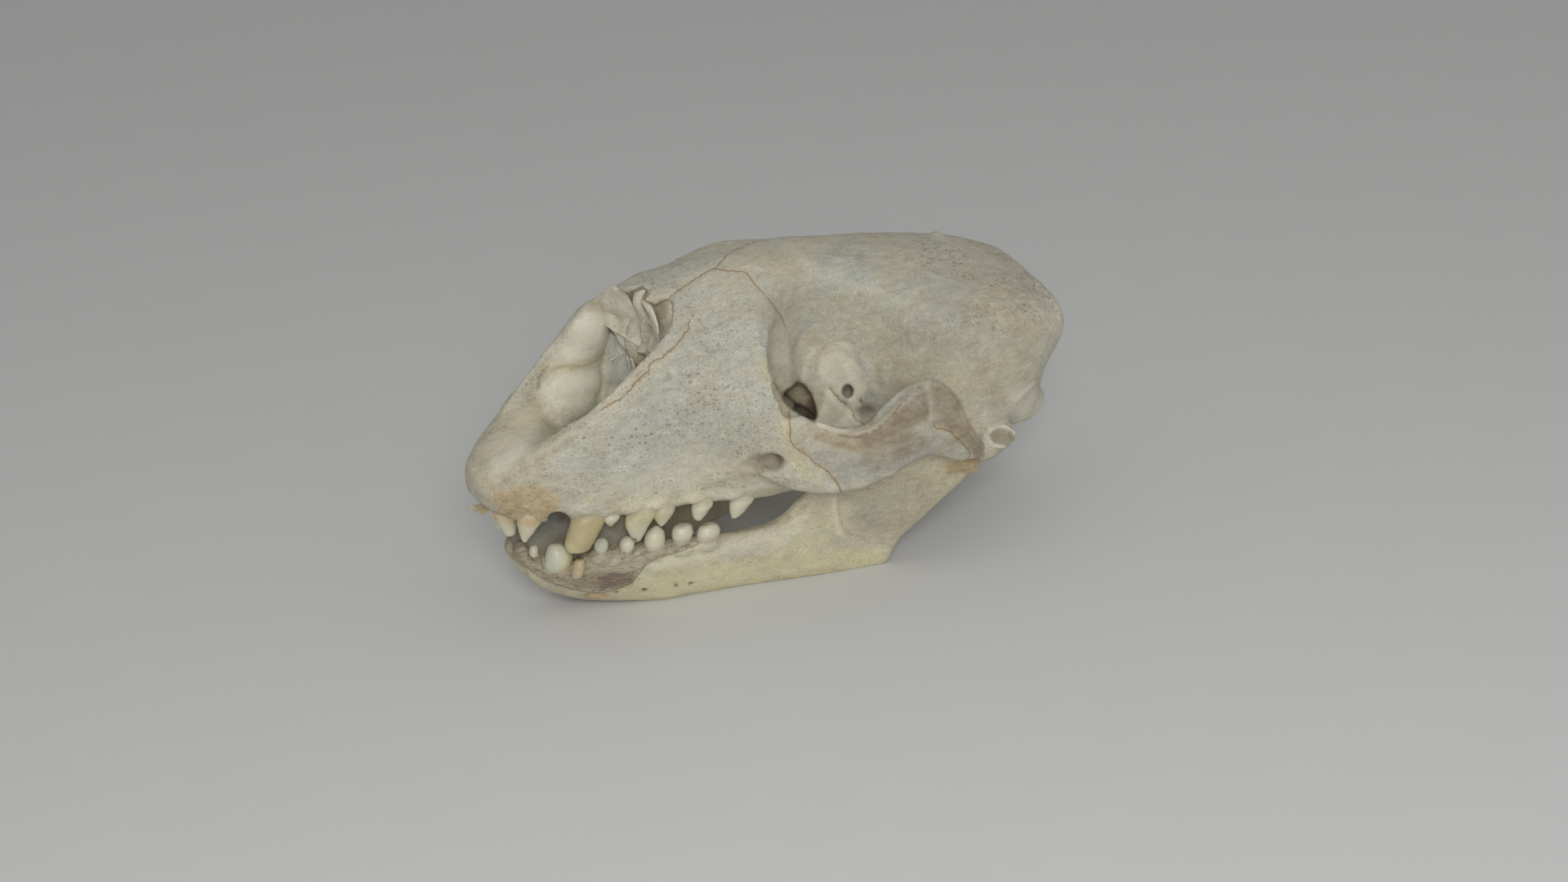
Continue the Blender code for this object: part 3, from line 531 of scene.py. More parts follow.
# Crowns by their outlines in the photograph. For each tooth: y of its middle, its breadth across the row
# as a share of that along it, and levels from the neck to the tip as (left, right, height) in pixels.
CROWNS = {
    "upper_incisor_1": (4.2, 1.0, ((603, 636, 628), (608, 634, 638), (613, 633, 646), (617, 632, 653),
        (620, 630, 655))),
    "upper_incisor_2": (15.0, 0.9, ((628, 678, 612), (630, 673, 624), (632, 668, 635), (634, 659, 647),
        (637, 651, 657), (640, 645, 664))),
    "upper_canine": (24.0, 0.72, ((698, 742, 632), (696, 741, 642), (693, 736, 652), (691, 731, 661),
        (692, 727, 667), (695, 724, 672), (697, 722, 674))),
    "upper_cheek_1": (27.0, 0.85, ((738, 760, 632), (740, 757, 638), (744, 752, 642), (746, 750, 644))),
    "upper_cheek_2": (30.0, 0.7, ((766, 806, 629), (765, 799, 639), (768, 793, 648), (773, 788, 657),
        (777, 784, 663))),
    "upper_cheek_3": (32.0, 0.8, ((798, 827, 625), (801, 822, 633), (805, 817, 639), (808, 812, 644))),
    "upper_cheek_4": (35.5, 0.75, ((847, 873, 619), (847, 868, 626), (849, 864, 632), (853, 859, 637))),
    "upper_cheek_5": (37.5, 0.7, ((893, 923, 613), (893, 917, 621), (894, 911, 628), (896, 903, 634))),
    "lower_incisor_1": (6.0, 1.0, ((646, 659, 684), (646, 660, 678), (647, 659, 671), (650, 656, 668))),
    "lower_canine": (15.5, 0.9, ((674, 694, 701), (667, 701, 692), (666, 702, 683), (668, 697, 674),
        (672, 690, 667), (676, 686, 665))),
    "lower_cheek_1": (23.0, 1.0, ((730, 742, 677), (727, 745, 671), (727, 745, 664), (731, 741, 660),
        (734, 738, 659))),
    "lower_cheek_2": (26.0, 1.0, ((761, 775, 676), (758, 777, 669), (759, 777, 662), (763, 773, 658),
        (766, 770, 657))),
    "lower_cheek_3": (29.5, 0.9, ((791, 812, 672), (788, 815, 662), (791, 813, 652), (797, 808, 646),
        (801, 805, 644))),
    "lower_cheek_4": (32.5, 0.85, ((824, 847, 661), (822, 849, 652), (825, 846, 644), (831, 841, 642))),
    "lower_cheek_5": (35.2, 0.75, ((852, 881, 658), (853, 882, 650), (857, 878, 643), (862, 873, 641))),
}
# Stub of a broken tooth behind the lower canine, in the way of the crowns
STUB = (24.0, 1.0, ((699, 714, 705), (700, 716, 699), (702, 716, 691), (705, 715, 685)))

# Tables of the tones

# What the bone is toned with
TONES = ("brown", "grey", "tan", "pale", "yellow", "purple")
ARCH_OUTLINE = ((985, 520), (1020, 530), (1048, 533), (1066, 526), (1086, 514), (1101, 500), (1113, 489),
    (1122, 477), (1134, 465), (1151, 469), (1164, 479), (1174, 493), (1182, 512), (1192, 530), (1204, 545),
    (1208, 560), (1195, 574), (1181, 573), (1151, 563), (1119, 572), (1079, 588), (1046, 598), (1030, 600),
    (1005, 575), (975, 545), (970, 525))
# Patches of tone that the photograph shows, some of them painted light and shade: tone, outline and softness
# in pixels, strength
CRANIUM_PATCHES = (
    ("brown", ARCH_OUTLINE, 3.0, 0.32),
    ("brown", ((1050, 542), (1100, 522), (1130, 530), (1150, 545), (1110, 565), (1070, 580), (1050, 565)),
        8.0, 0.9),
    ("brown", ((1048, 540), (1066, 527), (1086, 515), (1101, 500), (1113, 489), (1124, 474), (1134, 467),
        (1136, 480), (1141, 510), (1120, 524), (1090, 540), (1060, 550)), 5.5, 1.08),
    ("brown", ((1136, 466), (1151, 471), (1164, 481), (1174, 495), (1182, 514), (1192, 532), (1204, 547),
        (1206, 560), (1190, 558), (1183, 546), (1172, 535), (1160, 527), (1146, 522), (1140, 500)), 3.0,
        0.95),
    ("grey", ((1000, 550), (1040, 560), (1080, 556), (1120, 535), (1148, 530), (1166, 540), (1180, 556),
        (1150, 560), (1110, 572), (1070, 588), (1036, 596), (1010, 575)), 6.0, 0.75),
    ("grey", ((1105, 478), (1122, 478), (1134, 490), (1128, 500), (1108, 495)), 4.0, 0.7),
    ("pale", ((1015, 475), (1010, 482), (1007, 496), (997, 518), (1010, 526), (1034, 532), (1051, 522),
        (1062, 520), (1048, 509), (1038, 499), (1027, 488)), 2.6, 0.95),
    # Painted light on the shaded front of the eye socket
    ("pale", ((940, 402), (962, 392), (985, 408), (992, 440), (985, 460), (965, 460), (945, 440)), 12.0,
        0.4),
    ("pale", ((740, 560), (860, 545), (900, 575), (860, 600), (760, 610)), 16.0, 0.25),
    ("tan", ((1014, 495), (1022, 500), (1030, 512), (1020, 518), (1010, 510)), 4.0, 0.3),
    ("pale", ((1004, 440), (1018, 428), (1031, 420), (1042, 424), (1053, 440), (1062, 455), (1064, 475),
        (1054, 498), (1030, 490), (1016, 472), (1003, 460)), 4.0, 0.6),
    ("grey", ((1044, 430), (1055, 436), (1068, 455), (1062, 462), (1050, 448)), 3.0, 0.7),
    ("grey", ((1063, 470), (1074, 480), (1072, 500), (1060, 515), (1050, 505), (1056, 490)), 3.0, 0.6),
    # Painted shade inside the opening in the socket wall, deepest on its right, over brown bone round its rim
    ("purple", ((985, 496), (991, 488), (998, 493), (1001, 508), (997, 519), (988, 513)), 1.5, 1.1),
    ("brown", ((945, 464), (958, 479), (969, 474), (976, 466), (985, 470), (993, 481), (998, 493),
        (1001, 507), (997, 519), (982, 508), (966, 500), (955, 490)), 1.0, 0.9),
    ("grey", ((830, 420), (900, 395), (930, 440), (952, 500), (956, 540), (900, 560), (800, 570),
        (730, 590), (700, 572), (760, 515)), 22.0, 0.5),
    ("yellow", ((572, 580), (600, 535), (650, 490), (700, 520), (690, 545), (640, 585), (600, 600),
        (580, 600)), 12.0, 0.2),
    ("tan", ((600, 605), (630, 596), (660, 594), (684, 606), (686, 618), (668, 640), (632, 644),
        (612, 638)), 6.0, 0.8),
    ("brown", ((604, 612), (630, 600), (665, 600), (680, 618), (668, 640), (632, 644), (612, 634)), 7.0,
        0.28),
    ("tan", ((639, 614), (650, 607), (665, 604), (668, 609), (655, 617), (642, 620)), 3.0, 0.85),
    ("brown", ((1030, 280), (1180, 285), (1262, 335), (1302, 390), (1290, 425), (1240, 400), (1180, 352),
        (1100, 322), (1040, 308)), 14.0, 0.2),
    ("grey", ((1000, 298), (1062, 300), (1078, 352), (1008, 362)), 12.0, 0.7),
    ("grey", ((770, 350), (830, 318), (900, 300), (880, 318), (850, 332), (820, 352)), 6.0, 0.55),
    ("yellow", ((1080, 350), (1180, 380), (1210, 450), (1180, 470), (1120, 440), (1060, 400)), 25.0, 0.35),
    ("pale", ((1235, 480), (1262, 470), (1282, 495), (1276, 514), (1255, 518), (1235, 505)), 8.0, 0.7),
    # Painted shade, greyish, on the side of the braincase
    ("grey", ((1090, 330), (1180, 345), (1215, 420), (1180, 450), (1110, 430), (1070, 380)), 25.0, 0.6),
    ("brown", ((1090, 360), (1150, 345), (1230, 370), (1275, 400), (1262, 440), (1200, 440), (1140, 440),
        (1095, 420)), 22.0, 0.32),
    ("pale", ((596, 555), (640, 505), (672, 500), (645, 555), (605, 585)), 10.0, 1.0),
    ("brown", ((1212, 532), (1222, 525), (1238, 527), (1243, 537), (1232, 545), (1217, 542)), 3.0, 1.2),
    ("grey", ((1190, 580), (1207, 563), (1225, 552), (1240, 553), (1226, 560), (1210, 572)), 2.0, 0.5),
    ("brown", ((910, 563), (925, 556), (945, 554), (958, 560), (957, 573), (945, 579), (928, 577)), 2.5,
        0.45),
    # Pale patches on the swellings of the nose's far wall: painted light, brightening what the hollow shades
    ("pale", ((700, 392), (718, 380), (738, 378), (750, 395), (747, 424), (727, 440), (694, 445),
        (684, 432)), 8.0, 0.85),
    ("pale", ((655, 478), (668, 452), (684, 425), (700, 388), (735, 372), (752, 392), (750, 430),
        (745, 480), (728, 500), (700, 518), (672, 515)), 8.0, 0.4),
    ("pale", ((664, 472), (680, 460), (727, 452), (738, 460), (738, 474), (722, 494), (682, 502),
        (667, 492)), 8.0, 0.9),
    ("yellow", ((655, 470), (700, 447), (748, 430), (745, 480), (700, 518), (660, 530)), 8.0, 0.1),
)
# Strokes of tone along the surface, some of them painted shade and highlight: tone, pixels, half width in mm,
# strength
CRANIUM_STROKES = (
    ("brown", ((596, 622), (620, 614), (650, 606), (685, 600)), 1.2, 0.45),
    ("brown", ((606, 636), (626, 628), (634, 618)), 1.4, 0.8),
    ("brown", ((640, 600), (665, 588), (690, 586)), 1.6, 0.3),
    ("yellow", ((747, 398), (749, 415), (744, 430), (728, 440), (700, 449), (672, 452)), 2.0, 0.8),
    # Painted shadow under the upper swelling of the nose's wall
    ("brown", ((661, 467), (673, 455), (685, 449), (711, 449), (731, 441), (743, 430)), 0.9, 0.6),
    ("purple", ((660, 474), (660, 464), (664, 456), (671, 449)), 0.6, 1.2),
    # Painted shade in the hollow of the socket wall, then a painted highlight on the ridge above it
    ("purple", ((1055, 500), (1063, 503)), 2.6, 0.5),
    ("pale", ((1050, 447), (1058, 455)), 2.2, 0.8),
    ("brown", ((700, 540), (690, 545), (680, 553)), 1.2, 0.6),
    ("brown", ((672, 556), (655, 567), (635, 580), (610, 594), (594, 600)), 0.6, 0.5),
    ("brown", ((730, 505), (712, 520), (690, 528), (670, 545)), 1.2, 0.3),
    ("tan", ((594, 560), (610, 545), (640, 520), (660, 505)), 4.0, 0.3),
    ("brown", ((583, 604), (590, 608), (596, 612)), 1.6, 0.6),
    ("brown", ((608, 628), (620, 632), (630, 634)), 1.8, 0.45),
    ("grey", ((931, 405), (934, 425), (941, 443)), 1.8, 0.9),
    ("grey", ((996, 388), (986, 400), (976, 416), (970, 430)), 2.2, 0.8),
    ("grey", ((980, 440), (988, 450)), 3.0, 0.35),
    ("grey", ((1164, 399), (1166, 402)), 4.0, 0.8),
    ("brown", ((1004, 431), (1012, 423), (1024, 417), (1038, 416), (1048, 422)), 0.8, 0.45),
    ("pale", ((1048, 479), (1045, 487), (1038, 490), (1031, 487), (1028, 479), (1031, 471), (1038, 468),
        (1045, 471)), 1.0, 0.9),
    ("tan", ((993, 531), (1020, 540), (1050, 547)), 2.6, 0.6),
    ("brown", ((1000, 535), (1025, 543), (1050, 549)), 2.2, 0.85),
    # Painted shade of the small foramen, too small to be cut
    ("purple", ((1054, 490), (1055, 492)), 0.9, 1.6),
    ("pale", ((1247, 538), (1240, 528), (1228, 521), (1215, 525), (1209, 534), (1216, 544), (1230, 548),
        (1243, 546)), 0.8, 1.0),
    ("tan", ((1150, 558), (1175, 568), (1192, 570)), 2.5, 0.75),
    ("brown", ((1165, 569), (1185, 566), (1200, 560)), 1.5, 0.75),
    ("brown", ((1058, 556), (1080, 545), (1092, 530), (1098, 512), (1112, 498)), 2.6, 0.6),
    # Brown line along the arch's top edge, also painted shade over its lit rim
    ("brown", ((1030, 534), (1050, 535), (1066, 529), (1080, 520), (1092, 508), (1104, 493), (1116, 483),
        (1126, 474)), 0.8, 1.4),
    ("brown", ((990, 522), (1010, 527), (1030, 530), (1050, 530), (1066, 523), (1080, 512), (1092, 500),
        (1104, 488), (1116, 478)), 1.6, 0.6),
    ("brown", ((1070, 538), (1092, 522), (1108, 504), (1122, 486)), 0.9, 1.3),
    ("brown", ((1078, 552), (1104, 534), (1120, 514), (1128, 494)), 0.8, 1.2),
    ("grey", ((1066, 520), (1080, 505), (1096, 490), (1112, 480)), 1.6, 0.7),
    ("brown", ((1136, 470), (1139, 485), (1139, 505), (1146, 522)), 1.6, 0.6),
    ("brown", ((1134, 465), (1151, 469), (1164, 479), (1174, 493), (1182, 512), (1192, 530), (1204, 545)),
        0.9, 1.0),
    ("brown", ((1166, 532), (1176, 542), (1185, 550), (1188, 557)), 0.8, 1.0),
    ("brown", ((1030, 601), (1059, 596), (1079, 587), (1101, 579), (1119, 571), (1136, 564), (1151, 562)),
        0.7, 0.5),
    ("brown", ((1185, 513), (1195, 507), (1205, 501)), 1.2, 0.5),
    ("tan", ((1185, 516), (1192, 522)), 2.2, 0.5),
    ("brown", ((1060, 300), (1120, 300), (1160, 310)), 6.0, 0.3),
    ("brown", ((1195, 340), (1230, 335)), 4.0, 0.4),
    ("brown", ((1213, 400), (1206, 450), (1216, 490)), 6.0, 0.3),
    ("pale", ((780, 622), (850, 612), (900, 603), (940, 592)), 3.0, 0.6),
    ("yellow", ((760, 620), (800, 614), (860, 608)), 4.0, 0.5),
    ("brown", ((940, 592), (970, 590), (1000, 596)), 1.2, 0.4),
    ("yellow", ((958, 512), (962, 540), (975, 565), (1000, 585)), 3.5, 0.7),
    ("yellow", ((930, 430), (944, 466), (960, 500)), 3.0, 0.5),
    ("tan", ((965, 500), (967, 520), (970, 545), (985, 558)), 1.6, 0.6),
    ("brown", ((1254, 491), (1262, 478), (1272, 468)), 1.4, 0.35),
    ("brown", ((1090, 420), (1100, 470), (1110, 470)), 3.0, 0.2),
    ("brown", ((1075, 445), (1080, 470)), 2.0, 0.35),
)
# Those of the jaw, the teeth and the thin bones, by the same columns
JAW_PATCHES = (
    ("brown", ((618, 660), (630, 652), (650, 668), (660, 684), (666, 698), (684, 704), (676, 712),
        (652, 702), (634, 690), (624, 680)), 4.0, 0.5),
    ("brown", ((668, 700), (700, 700), (722, 690), (724, 712), (700, 720), (676, 712)), 5.0, 0.45),
    ("purple", ((622, 658), (636, 656), (640, 668), (630, 674)), 4.0, 0.6),
    ("brown", ((1028, 606), (1070, 592), (1110, 575), (1170, 575), (1160, 610), (1100, 662), (1050, 655)),
        14.0, 0.45),
    ("brown", ((1160, 566), (1205, 562), (1196, 586), (1168, 600)), 5.0, 0.4),
    ("purple", ((731, 706), (750, 701), (776, 703), (774, 713), (750, 720), (735, 721)), 3.0, 1.15),
    ("brown", ((700, 706), (730, 698), (776, 700), (780, 708), (770, 718), (730, 724), (700, 718)), 5.0,
        0.7),
    ("brown", ((624, 668), (636, 664), (644, 680), (640, 690), (630, 684)), 4.0, 1.0),
    ("yellow", ((742, 724), (800, 705), (880, 690), (960, 680), (1050, 672), (1092, 682), (960, 714),
        (780, 738)), 8.0, 0.7),
    ("grey", ((1040, 600), (1100, 590), (1140, 600), (1120, 640), (1060, 650), (1035, 640)), 14.0, 0.4),
    # Pale bands along the middle of the jaw: painted highlight
    ("pale", ((790, 712), (880, 694), (960, 688), (1050, 680), (1040, 690), (900, 718), (800, 732)), 8.0,
        0.5),
    ("pale", ((790, 690), (840, 675), (900, 665), (960, 650), (985, 640), (960, 670), (880, 684),
        (800, 702)), 8.0, 0.4),
)
JAW_STROKES = (
    ("brown", ((622, 662), (628, 684), (646, 700), (670, 713), (700, 722)), 0.8, 0.5),
    ("pale", ((716, 682), (740, 684), (768, 690), (790, 684), (812, 674)), 1.8, 0.8),
    ("pale", ((722, 694), (745, 697), (770, 698)), 1.0, 0.7),
    ("tan", ((720, 731), (730, 731), (738, 729)), 2.8, 1.5),
    ("brown", ((881, 652), (905, 650), (930, 646), (950, 640)), 1.2, 0.75),
    ("brown", ((950, 645), (975, 630), (990, 612)), 1.6, 0.5),
    ("brown", ((1026, 612), (1028, 630), (1034, 648), (1055, 658), (1080, 655)), 1.0, 0.5),
    ("pale", ((1022, 612), (1023, 632), (1029, 652)), 1.6, 0.5),
    ("brown", ((1185, 580), (1195, 570), (1204, 564)), 2.4, 0.75),
    ("tan", ((1162, 572), (1182, 571), (1198, 562)), 2.6, 1.2),
    ("brown", ((1150, 585), (1160, 600)), 4.0, 0.25),
    ("brown", ((1165, 578), (1195, 572)), 3.0, 0.8),
    ("grey", ((900, 680), (930, 674)), 3.0, 0.15),
)
TOOTH_STROKES = (
    ("tan", ((630, 638), (650, 640), (666, 636)), 4.0, 1.0),
    ("yellow", ((766, 638), (785, 636), (806, 632)), 4.5, 0.9),
    ("brown", ((776, 660), (778, 662)), 1.0, 1.5),
    ("tan", ((664, 632), (655, 645)), 1.6, 0.5),
    ("tan", ((606, 634), (620, 638), (632, 640)), 2.4, 0.8),
    ("grey", ((676, 672), (676, 684), (678, 694)), 3.4, 0.45),
    ("yellow", ((698, 674), (700, 688), (692, 698)), 3.0, 1.2),
    ("brown", ((670, 668), (680, 664), (690, 667)), 1.0, 1.0),
    ("tan", ((730, 640), (726, 660)), 2.0, 0.5),
    ("grey", ((735, 668), (737, 669)), 2.2, 0.8),
    ("brown", ((775, 632), (784, 634)), 2.5, 0.4),
    ("brown", ((800, 628), (818, 628)), 2.0, 0.4),
    ("brown", ((856, 644), (862, 642)), 1.6, 0.6),
)
NOSE_STROKES = (
    ("pale", ((752, 353), (766, 366), (778, 384), (788, 398)), 3.0, 0.9),
    ("grey", ((752, 388), (764, 398), (780, 402)), 4.0, 0.9),
    ("brown", ((756, 398), (768, 402), (784, 404)), 0.9, 0.4),
    ("brown", ((783, 408), (789, 412), (791, 418)), 1.6, 0.6),
    ("grey", ((752, 415), (756, 440), (752, 465)), 5.0, 1.0),
    ("grey", ((766, 430), (768, 450), (762, 468)), 4.0, 1.0),
    ("brown", ((748, 470), (760, 470)), 3.0, 0.4),
    ("brown", ((806, 380), (808, 395), (806, 410)), 7.0, 0.42),
    ("brown", ((795, 360), (790, 372), (797, 388), (804, 402)), 1.4, 0.5),
    ("brown", ((793, 356), (796, 358)), 1.8, 0.7),
    ("tan", ((573, 620), (585, 624), (600, 622)), 4.0, 0.9),
    ("brown", ((580, 626), (588, 622), (600, 616)), 1.4, 0.5),
    ("grey", ((573, 620), (580, 621), (590, 622)), 2.0, 0.7),
    ("pale", ((786, 352), (781, 363), (781, 372), (787, 385), (795, 397), (799, 405), (797, 413)), 1.8,
        1.0),
)


# Settings


class SkullSizes(bpy.types.PropertyGroup):
    """Sizes that a user would change, in millimetres."""
    cranium_grain: FloatProperty(
        name="Cranium grain", description="Edge of the voxels that the cranium's skin is made of, in mm",
        default=1.3, min=1.0, max=4.0)
    jaw_grain: FloatProperty(
        name="Jaw grain", description="Edge of the voxels that a jaw half's skin is made of, in mm",
        default=1.0, min=0.8, max=4.0)
    shell_grain: FloatProperty(
        name="Shell grain", description="Edge of the voxels of the shells that are cut, in mm",
        default=2.0, min=1.0, max=4.0)
    unevenness: FloatProperty(
        name="Unevenness", description="Height of the slow swells of the bone, in mm",
        default=0.7, min=0.0, max=3.0)


def colour(name, description, *default):
    """A colour that a user can change."""
    return FloatVectorProperty(name=name, description=description, subtype="COLOR", size=3, min=0, max=1,
                               default=default)


class SkullColours(bpy.types.PropertyGroup):
    """Colours of the bone, the teeth and what has dried on them."""
    bone: colour("Bone", "Clean bone of the face", 0.55, 0.53, 0.42)
    cream: colour("Cream bone", "Warmer bone of the braincase", 0.54, 0.49, 0.35)
    jaw: colour("Jaw bone", "Yellower bone of the lower jaw", 0.63, 0.58, 0.38)
    grey: colour("Blue-grey", "Thin bone that shows grey", 0.37, 0.40, 0.375)
    brown: colour("Brown", "Brown stain and porous bone", 0.26, 0.205, 0.13)
    tan: colour("Tan", "Tan and yellow stain", 0.55, 0.40, 0.20)
    # The next colour is painted shade: it fills the insides of holes and the depths of the nose and the
    # braincase, not the seams or pores
    painted_shade: colour("Dark", "Seams, pores and the insides of holes", 0.10, 0.075, 0.05)
    # Pale bone; also painted light on the nose's swellings and the front of the eye socket, and painted
    # highlight on the socket wall's ridge and along the jaw
    pale: colour("Pale bone", "Smooth pale bone of swellings and thin plates", 0.80, 0.765, 0.62)
    yellow: colour("Yellow bone", "Oily yellow bone", 0.60, 0.54, 0.31)
    purple: colour("Purple brown", "Dark dried tissue", 0.22, 0.16, 0.12)
    tissue: colour("Dried tissue", "Strands of dried tissue", 0.42, 0.36, 0.265)
    # The next two colours are painted shade inside the mouth, on the sheet behind the front teeth: lighter
    # low down, deepest above
    lower_mouth_shade: colour("Lower web", "Lower part of the painted mouth shade", 0.24, 0.205, 0.15)
    web: colour("Mouth web", "Dried web behind the front teeth", 0.085, 0.08, 0.062)
    seam: colour("Seam", "Lines between the bones", 0.24, 0.185, 0.115)
    tooth: colour("Tooth", "Enamel of the teeth", 0.62, 0.60, 0.46)
    canine: colour("Stained tooth", "Stained enamel of the upper canines", 0.48, 0.40, 0.23)


class StageSettings(bpy.types.PropertyGroup):
    """The floor, the lights and the camera."""
    floor: colour("Floor", "Colour of the floor", 0.70, 0.70, 0.69)
    front_light: FloatProperty(
        name="Front light", description="Power of the soft light behind the camera, in watts",
        default=11.0, min=0)
    top_light: FloatProperty(
        name="Top light", description="Power of the soft light above, in watts", default=0.5, min=0)
    surround: FloatProperty(
        name="Surround", description="Strength of the even light from all sides", default=0.35, min=0)
    azimuth: FloatProperty(
        name="Camera azimuth",
        description="Direction that the camera stands in, from -Y towards +X, in degrees", default=-28.0)
    elevation: FloatProperty(
        name="Camera elevation", description="Height of the camera above the horizon, in degrees",
        default=22.0)
    roll: FloatProperty(
        name="Camera roll", description="Turn of the camera about its own line of sight, in degrees",
        default=-4.0)
    lens: FloatProperty(
        name="Lens", description="Focal length of the camera, in mm", default=50.0)
    scale: FloatProperty(
        name="Image scale", description="Pixels of the photograph for a millimetre of skull", default=2.7)
    aim_height: FloatProperty(
        name="Aim height", description="Height of the point that the camera looks at, in mm", default=47.0)


# Curves and rings


def smooth_step(values, low, high):
    """0 below low, 1 above high, and a smooth rise between."""
    share = np.clip((np.asarray(values, float) - low) / (high - low), 0, 1)
    return share * share * (3 - 2 * share)


def within(values, start, full, fade, end):
    """0 before start and after end, 1 from full to fade, and smooth between."""
    return smooth_step(values, start, full) * (1 - smooth_step(values, fade, end))


def smooth_through(keys, values, at):
    """Cubic curve through values given at keys, read at the places in at."""
    keys = np.asarray(keys, float)
    values = np.asarray(values, float)
    slopes = np.gradient(values, keys, axis=0)
    index = np.clip(np.searchsorted(keys, at, side="right") - 1, 0, len(keys) - 2)
    span = keys[index + 1] - keys[index]
    t = (at - keys[index]) / span
    shape = (-1,) + (1,) * (values.ndim - 1)
    t = t.reshape(shape)
    span = span.reshape(shape)
    start = values[index]
    end = values[index + 1]
    return (start * (2 * t**3 - 3 * t**2 + 1) + slopes[index] * span * (t**3 - 2 * t**2 + t)
            + end * (3 * t**2 - 2 * t**3) + slopes[index + 1] * span * (t**3 - t**2))


def filled_in(rows, steps):
    """Rows with others between them on a smooth curve, this many steps from each to the next."""
    last = len(rows) - 1
    return smooth_through(np.arange(last + 1), rows, np.linspace(0, last, last * steps + 1))


def steps_along(start, end):
    """Places from start to end, about one loft step apart."""
    count = max(2, round((end - start) / LOFT_STEP)) + 1
    return np.linspace(start, end, count)


def angles_round(sides):
    """Angles of the points of a ring."""
    return np.linspace(0, 2 * math.pi, sides, endpoint=False)


def squared(waves, roundness):
    """Sines or cosines that make a ring an oval at roundness 1, and the squarer the lower it is."""
    return np.sign(waves) * np.abs(waves) ** roundness


def closed_ring(half_outline):
    """Closed ring of (y, z) points from a half outline and its mirror image."""
    half = np.asarray(half_outline, float)
    mirror = half[-2:0:-1] * (-1, 1)
    loop = np.vstack((half, mirror, half[:1]))
    places = np.linspace(0, len(loop) - 1, RING_POINTS, endpoint=False)
    return smooth_through(np.arange(len(loop)), loop, places)


def outline_rings(stations):
    """Rings of 3-D points through stations of half outlines."""
    keys = [x for x, _ in stations]
    places = steps_along(keys[0], keys[-1])
    outlines = smooth_through(keys, [outline for _, outline in stations], places)
    rings = []
    for x, outline in zip(places, outlines):
        rings.append([(x, y, z) for y, z in closed_ring(outline)])
    return rings


def both_edges(station):
    """A slab station's values for its lower edge, its upper edge and its two heights."""
    _, *edges, low, high = station
    if len(edges) == 2:
        edges = edges * 2
    return (*edges, low, high)


def slab_rings(stations, side, roundness=SLAB_ROUNDNESS):
    """Rings of a plate that stands on edge. A station is x, y and half thickness, for the lower and the
    upper edge or once for both, and the lowest and the highest z. Its section is the squarer the lower the
    roundness, and an oval at 1."""
    keys = [station[0] for station in stations]
    places = steps_along(keys[0], keys[-1])
    rows = smooth_through(keys, [both_edges(station) for station in stations], places)
    angles = angles_round(RING_POINTS // 2)
    across = squared(np.cos(angles), roundness)
    upright = squared(np.sin(angles), roundness)
    rings = []
    for x, (low_y, low_half, high_y, high_half, low, high) in zip(places, rows):
        rise = (upright + 1) / 2
        ys = side * (low_y + (high_y - low_y) * rise) + (low_half + (high_half - low_half) * rise) * across
        zs = (low + high) / 2 + (high - low) / 2 * upright
        rings.append([(x, ring_y, ring_z) for ring_y, ring_z in zip(ys, zs)])
    return rings


def plate_rings(view, stations):
    """Rings of a thin plate through its stations, each a flat oval between two points of the photograph."""
    rows = [(*view.at_y(first, y), *view.at_y(second, other_y), half)
            for first, y, second, other_y, half in stations]
    rows = filled_in(rows, PLATE_STEPS)
    middles = (rows[:, :3] + rows[:, 3:6]) / 2
    along = np.gradient(middles, axis=0)
    angles = angles_round(PLATE_SIDES)
    rings = []
    for row, run in zip(rows, along):
        across = (row[3:6] - row[:3]) / 2
        out = np.cross(across, run)
        out /= np.linalg.norm(out)
        middle = (row[:3] + row[3:6]) / 2
        wide = squared(np.cos(angles), PLATE_ROUNDNESS)
        rings.append(middle + wide[:, None] * across + np.sin(angles)[:, None] * row[6] * out)
    return rings


def tooth_axis(tip, neck):
    """Unit vector from a tooth's tip towards its root."""
    run = np.array(neck, float) - np.array(tip, float)
    return run / np.linalg.norm(run)


def crown_rings(view, crown, root_length):
    """Rings of a tooth on the left side, from its root's end to its tip."""
    y, depth_share, levels = crown
    slant = math.tan(math.radians(CROWN_VIEW_ANGLE)) * depth_share
    rows = []
    for left, right, height in levels:
        first = view.at_y((left, height), -y)
        second = view.at_y((right, height), -y)
        half = (second[0] - first[0]) / 2 / math.sqrt(1 + slant * slant) * CROWN_FULLNESS
        middle = (first + second) / 2
        rows.append((*middle, half))
    neck = np.array(rows[0][:3])
    axis = tooth_axis(rows[-1][:3], neck)
    axis[1] += ROOT_LEAN
    neck_half = rows[0][3]
    for depth, share in ROOT_LEVELS:
        rows.insert(0, (*(neck + axis * root_length * depth), neck_half * share))
    angles = angles_round(TOOTH_SIDES)
    rings = []
    for x, row_y, z, half in filled_in(rows, TOOTH_STEPS):
        half = max(half, TOOTH_LEAST_HALF)
        rings.append([(x + half * math.cos(a), row_y + half * depth_share * math.sin(a), z) for a in angles])
    return rings


# Meshes


def to_model(points):
    """Skull-frame millimetres to the model's metres."""
    return (np.asarray(points, float) - (MIDDLE_X, 0.0, 0.0)) * MM


def to_skull(points):
    """The model's metres to skull-frame millimetres."""
    return np.asarray(points, float) / MM + (MIDDLE_X, 0.0, 0.0)


def rows_of(items, name, width=3, kind=np.float32):
    """One property of all points, normals or edges of a mesh, as the rows of an array."""
    flat = np.empty(len(items) * width, kind)
    items.foreach_get(name, flat)
    return flat.reshape(-1, width)


def points_of(thing):
    """A mesh's points in skull-frame millimetres."""
    return to_skull(rows_of(thing.data.vertices, "co"))


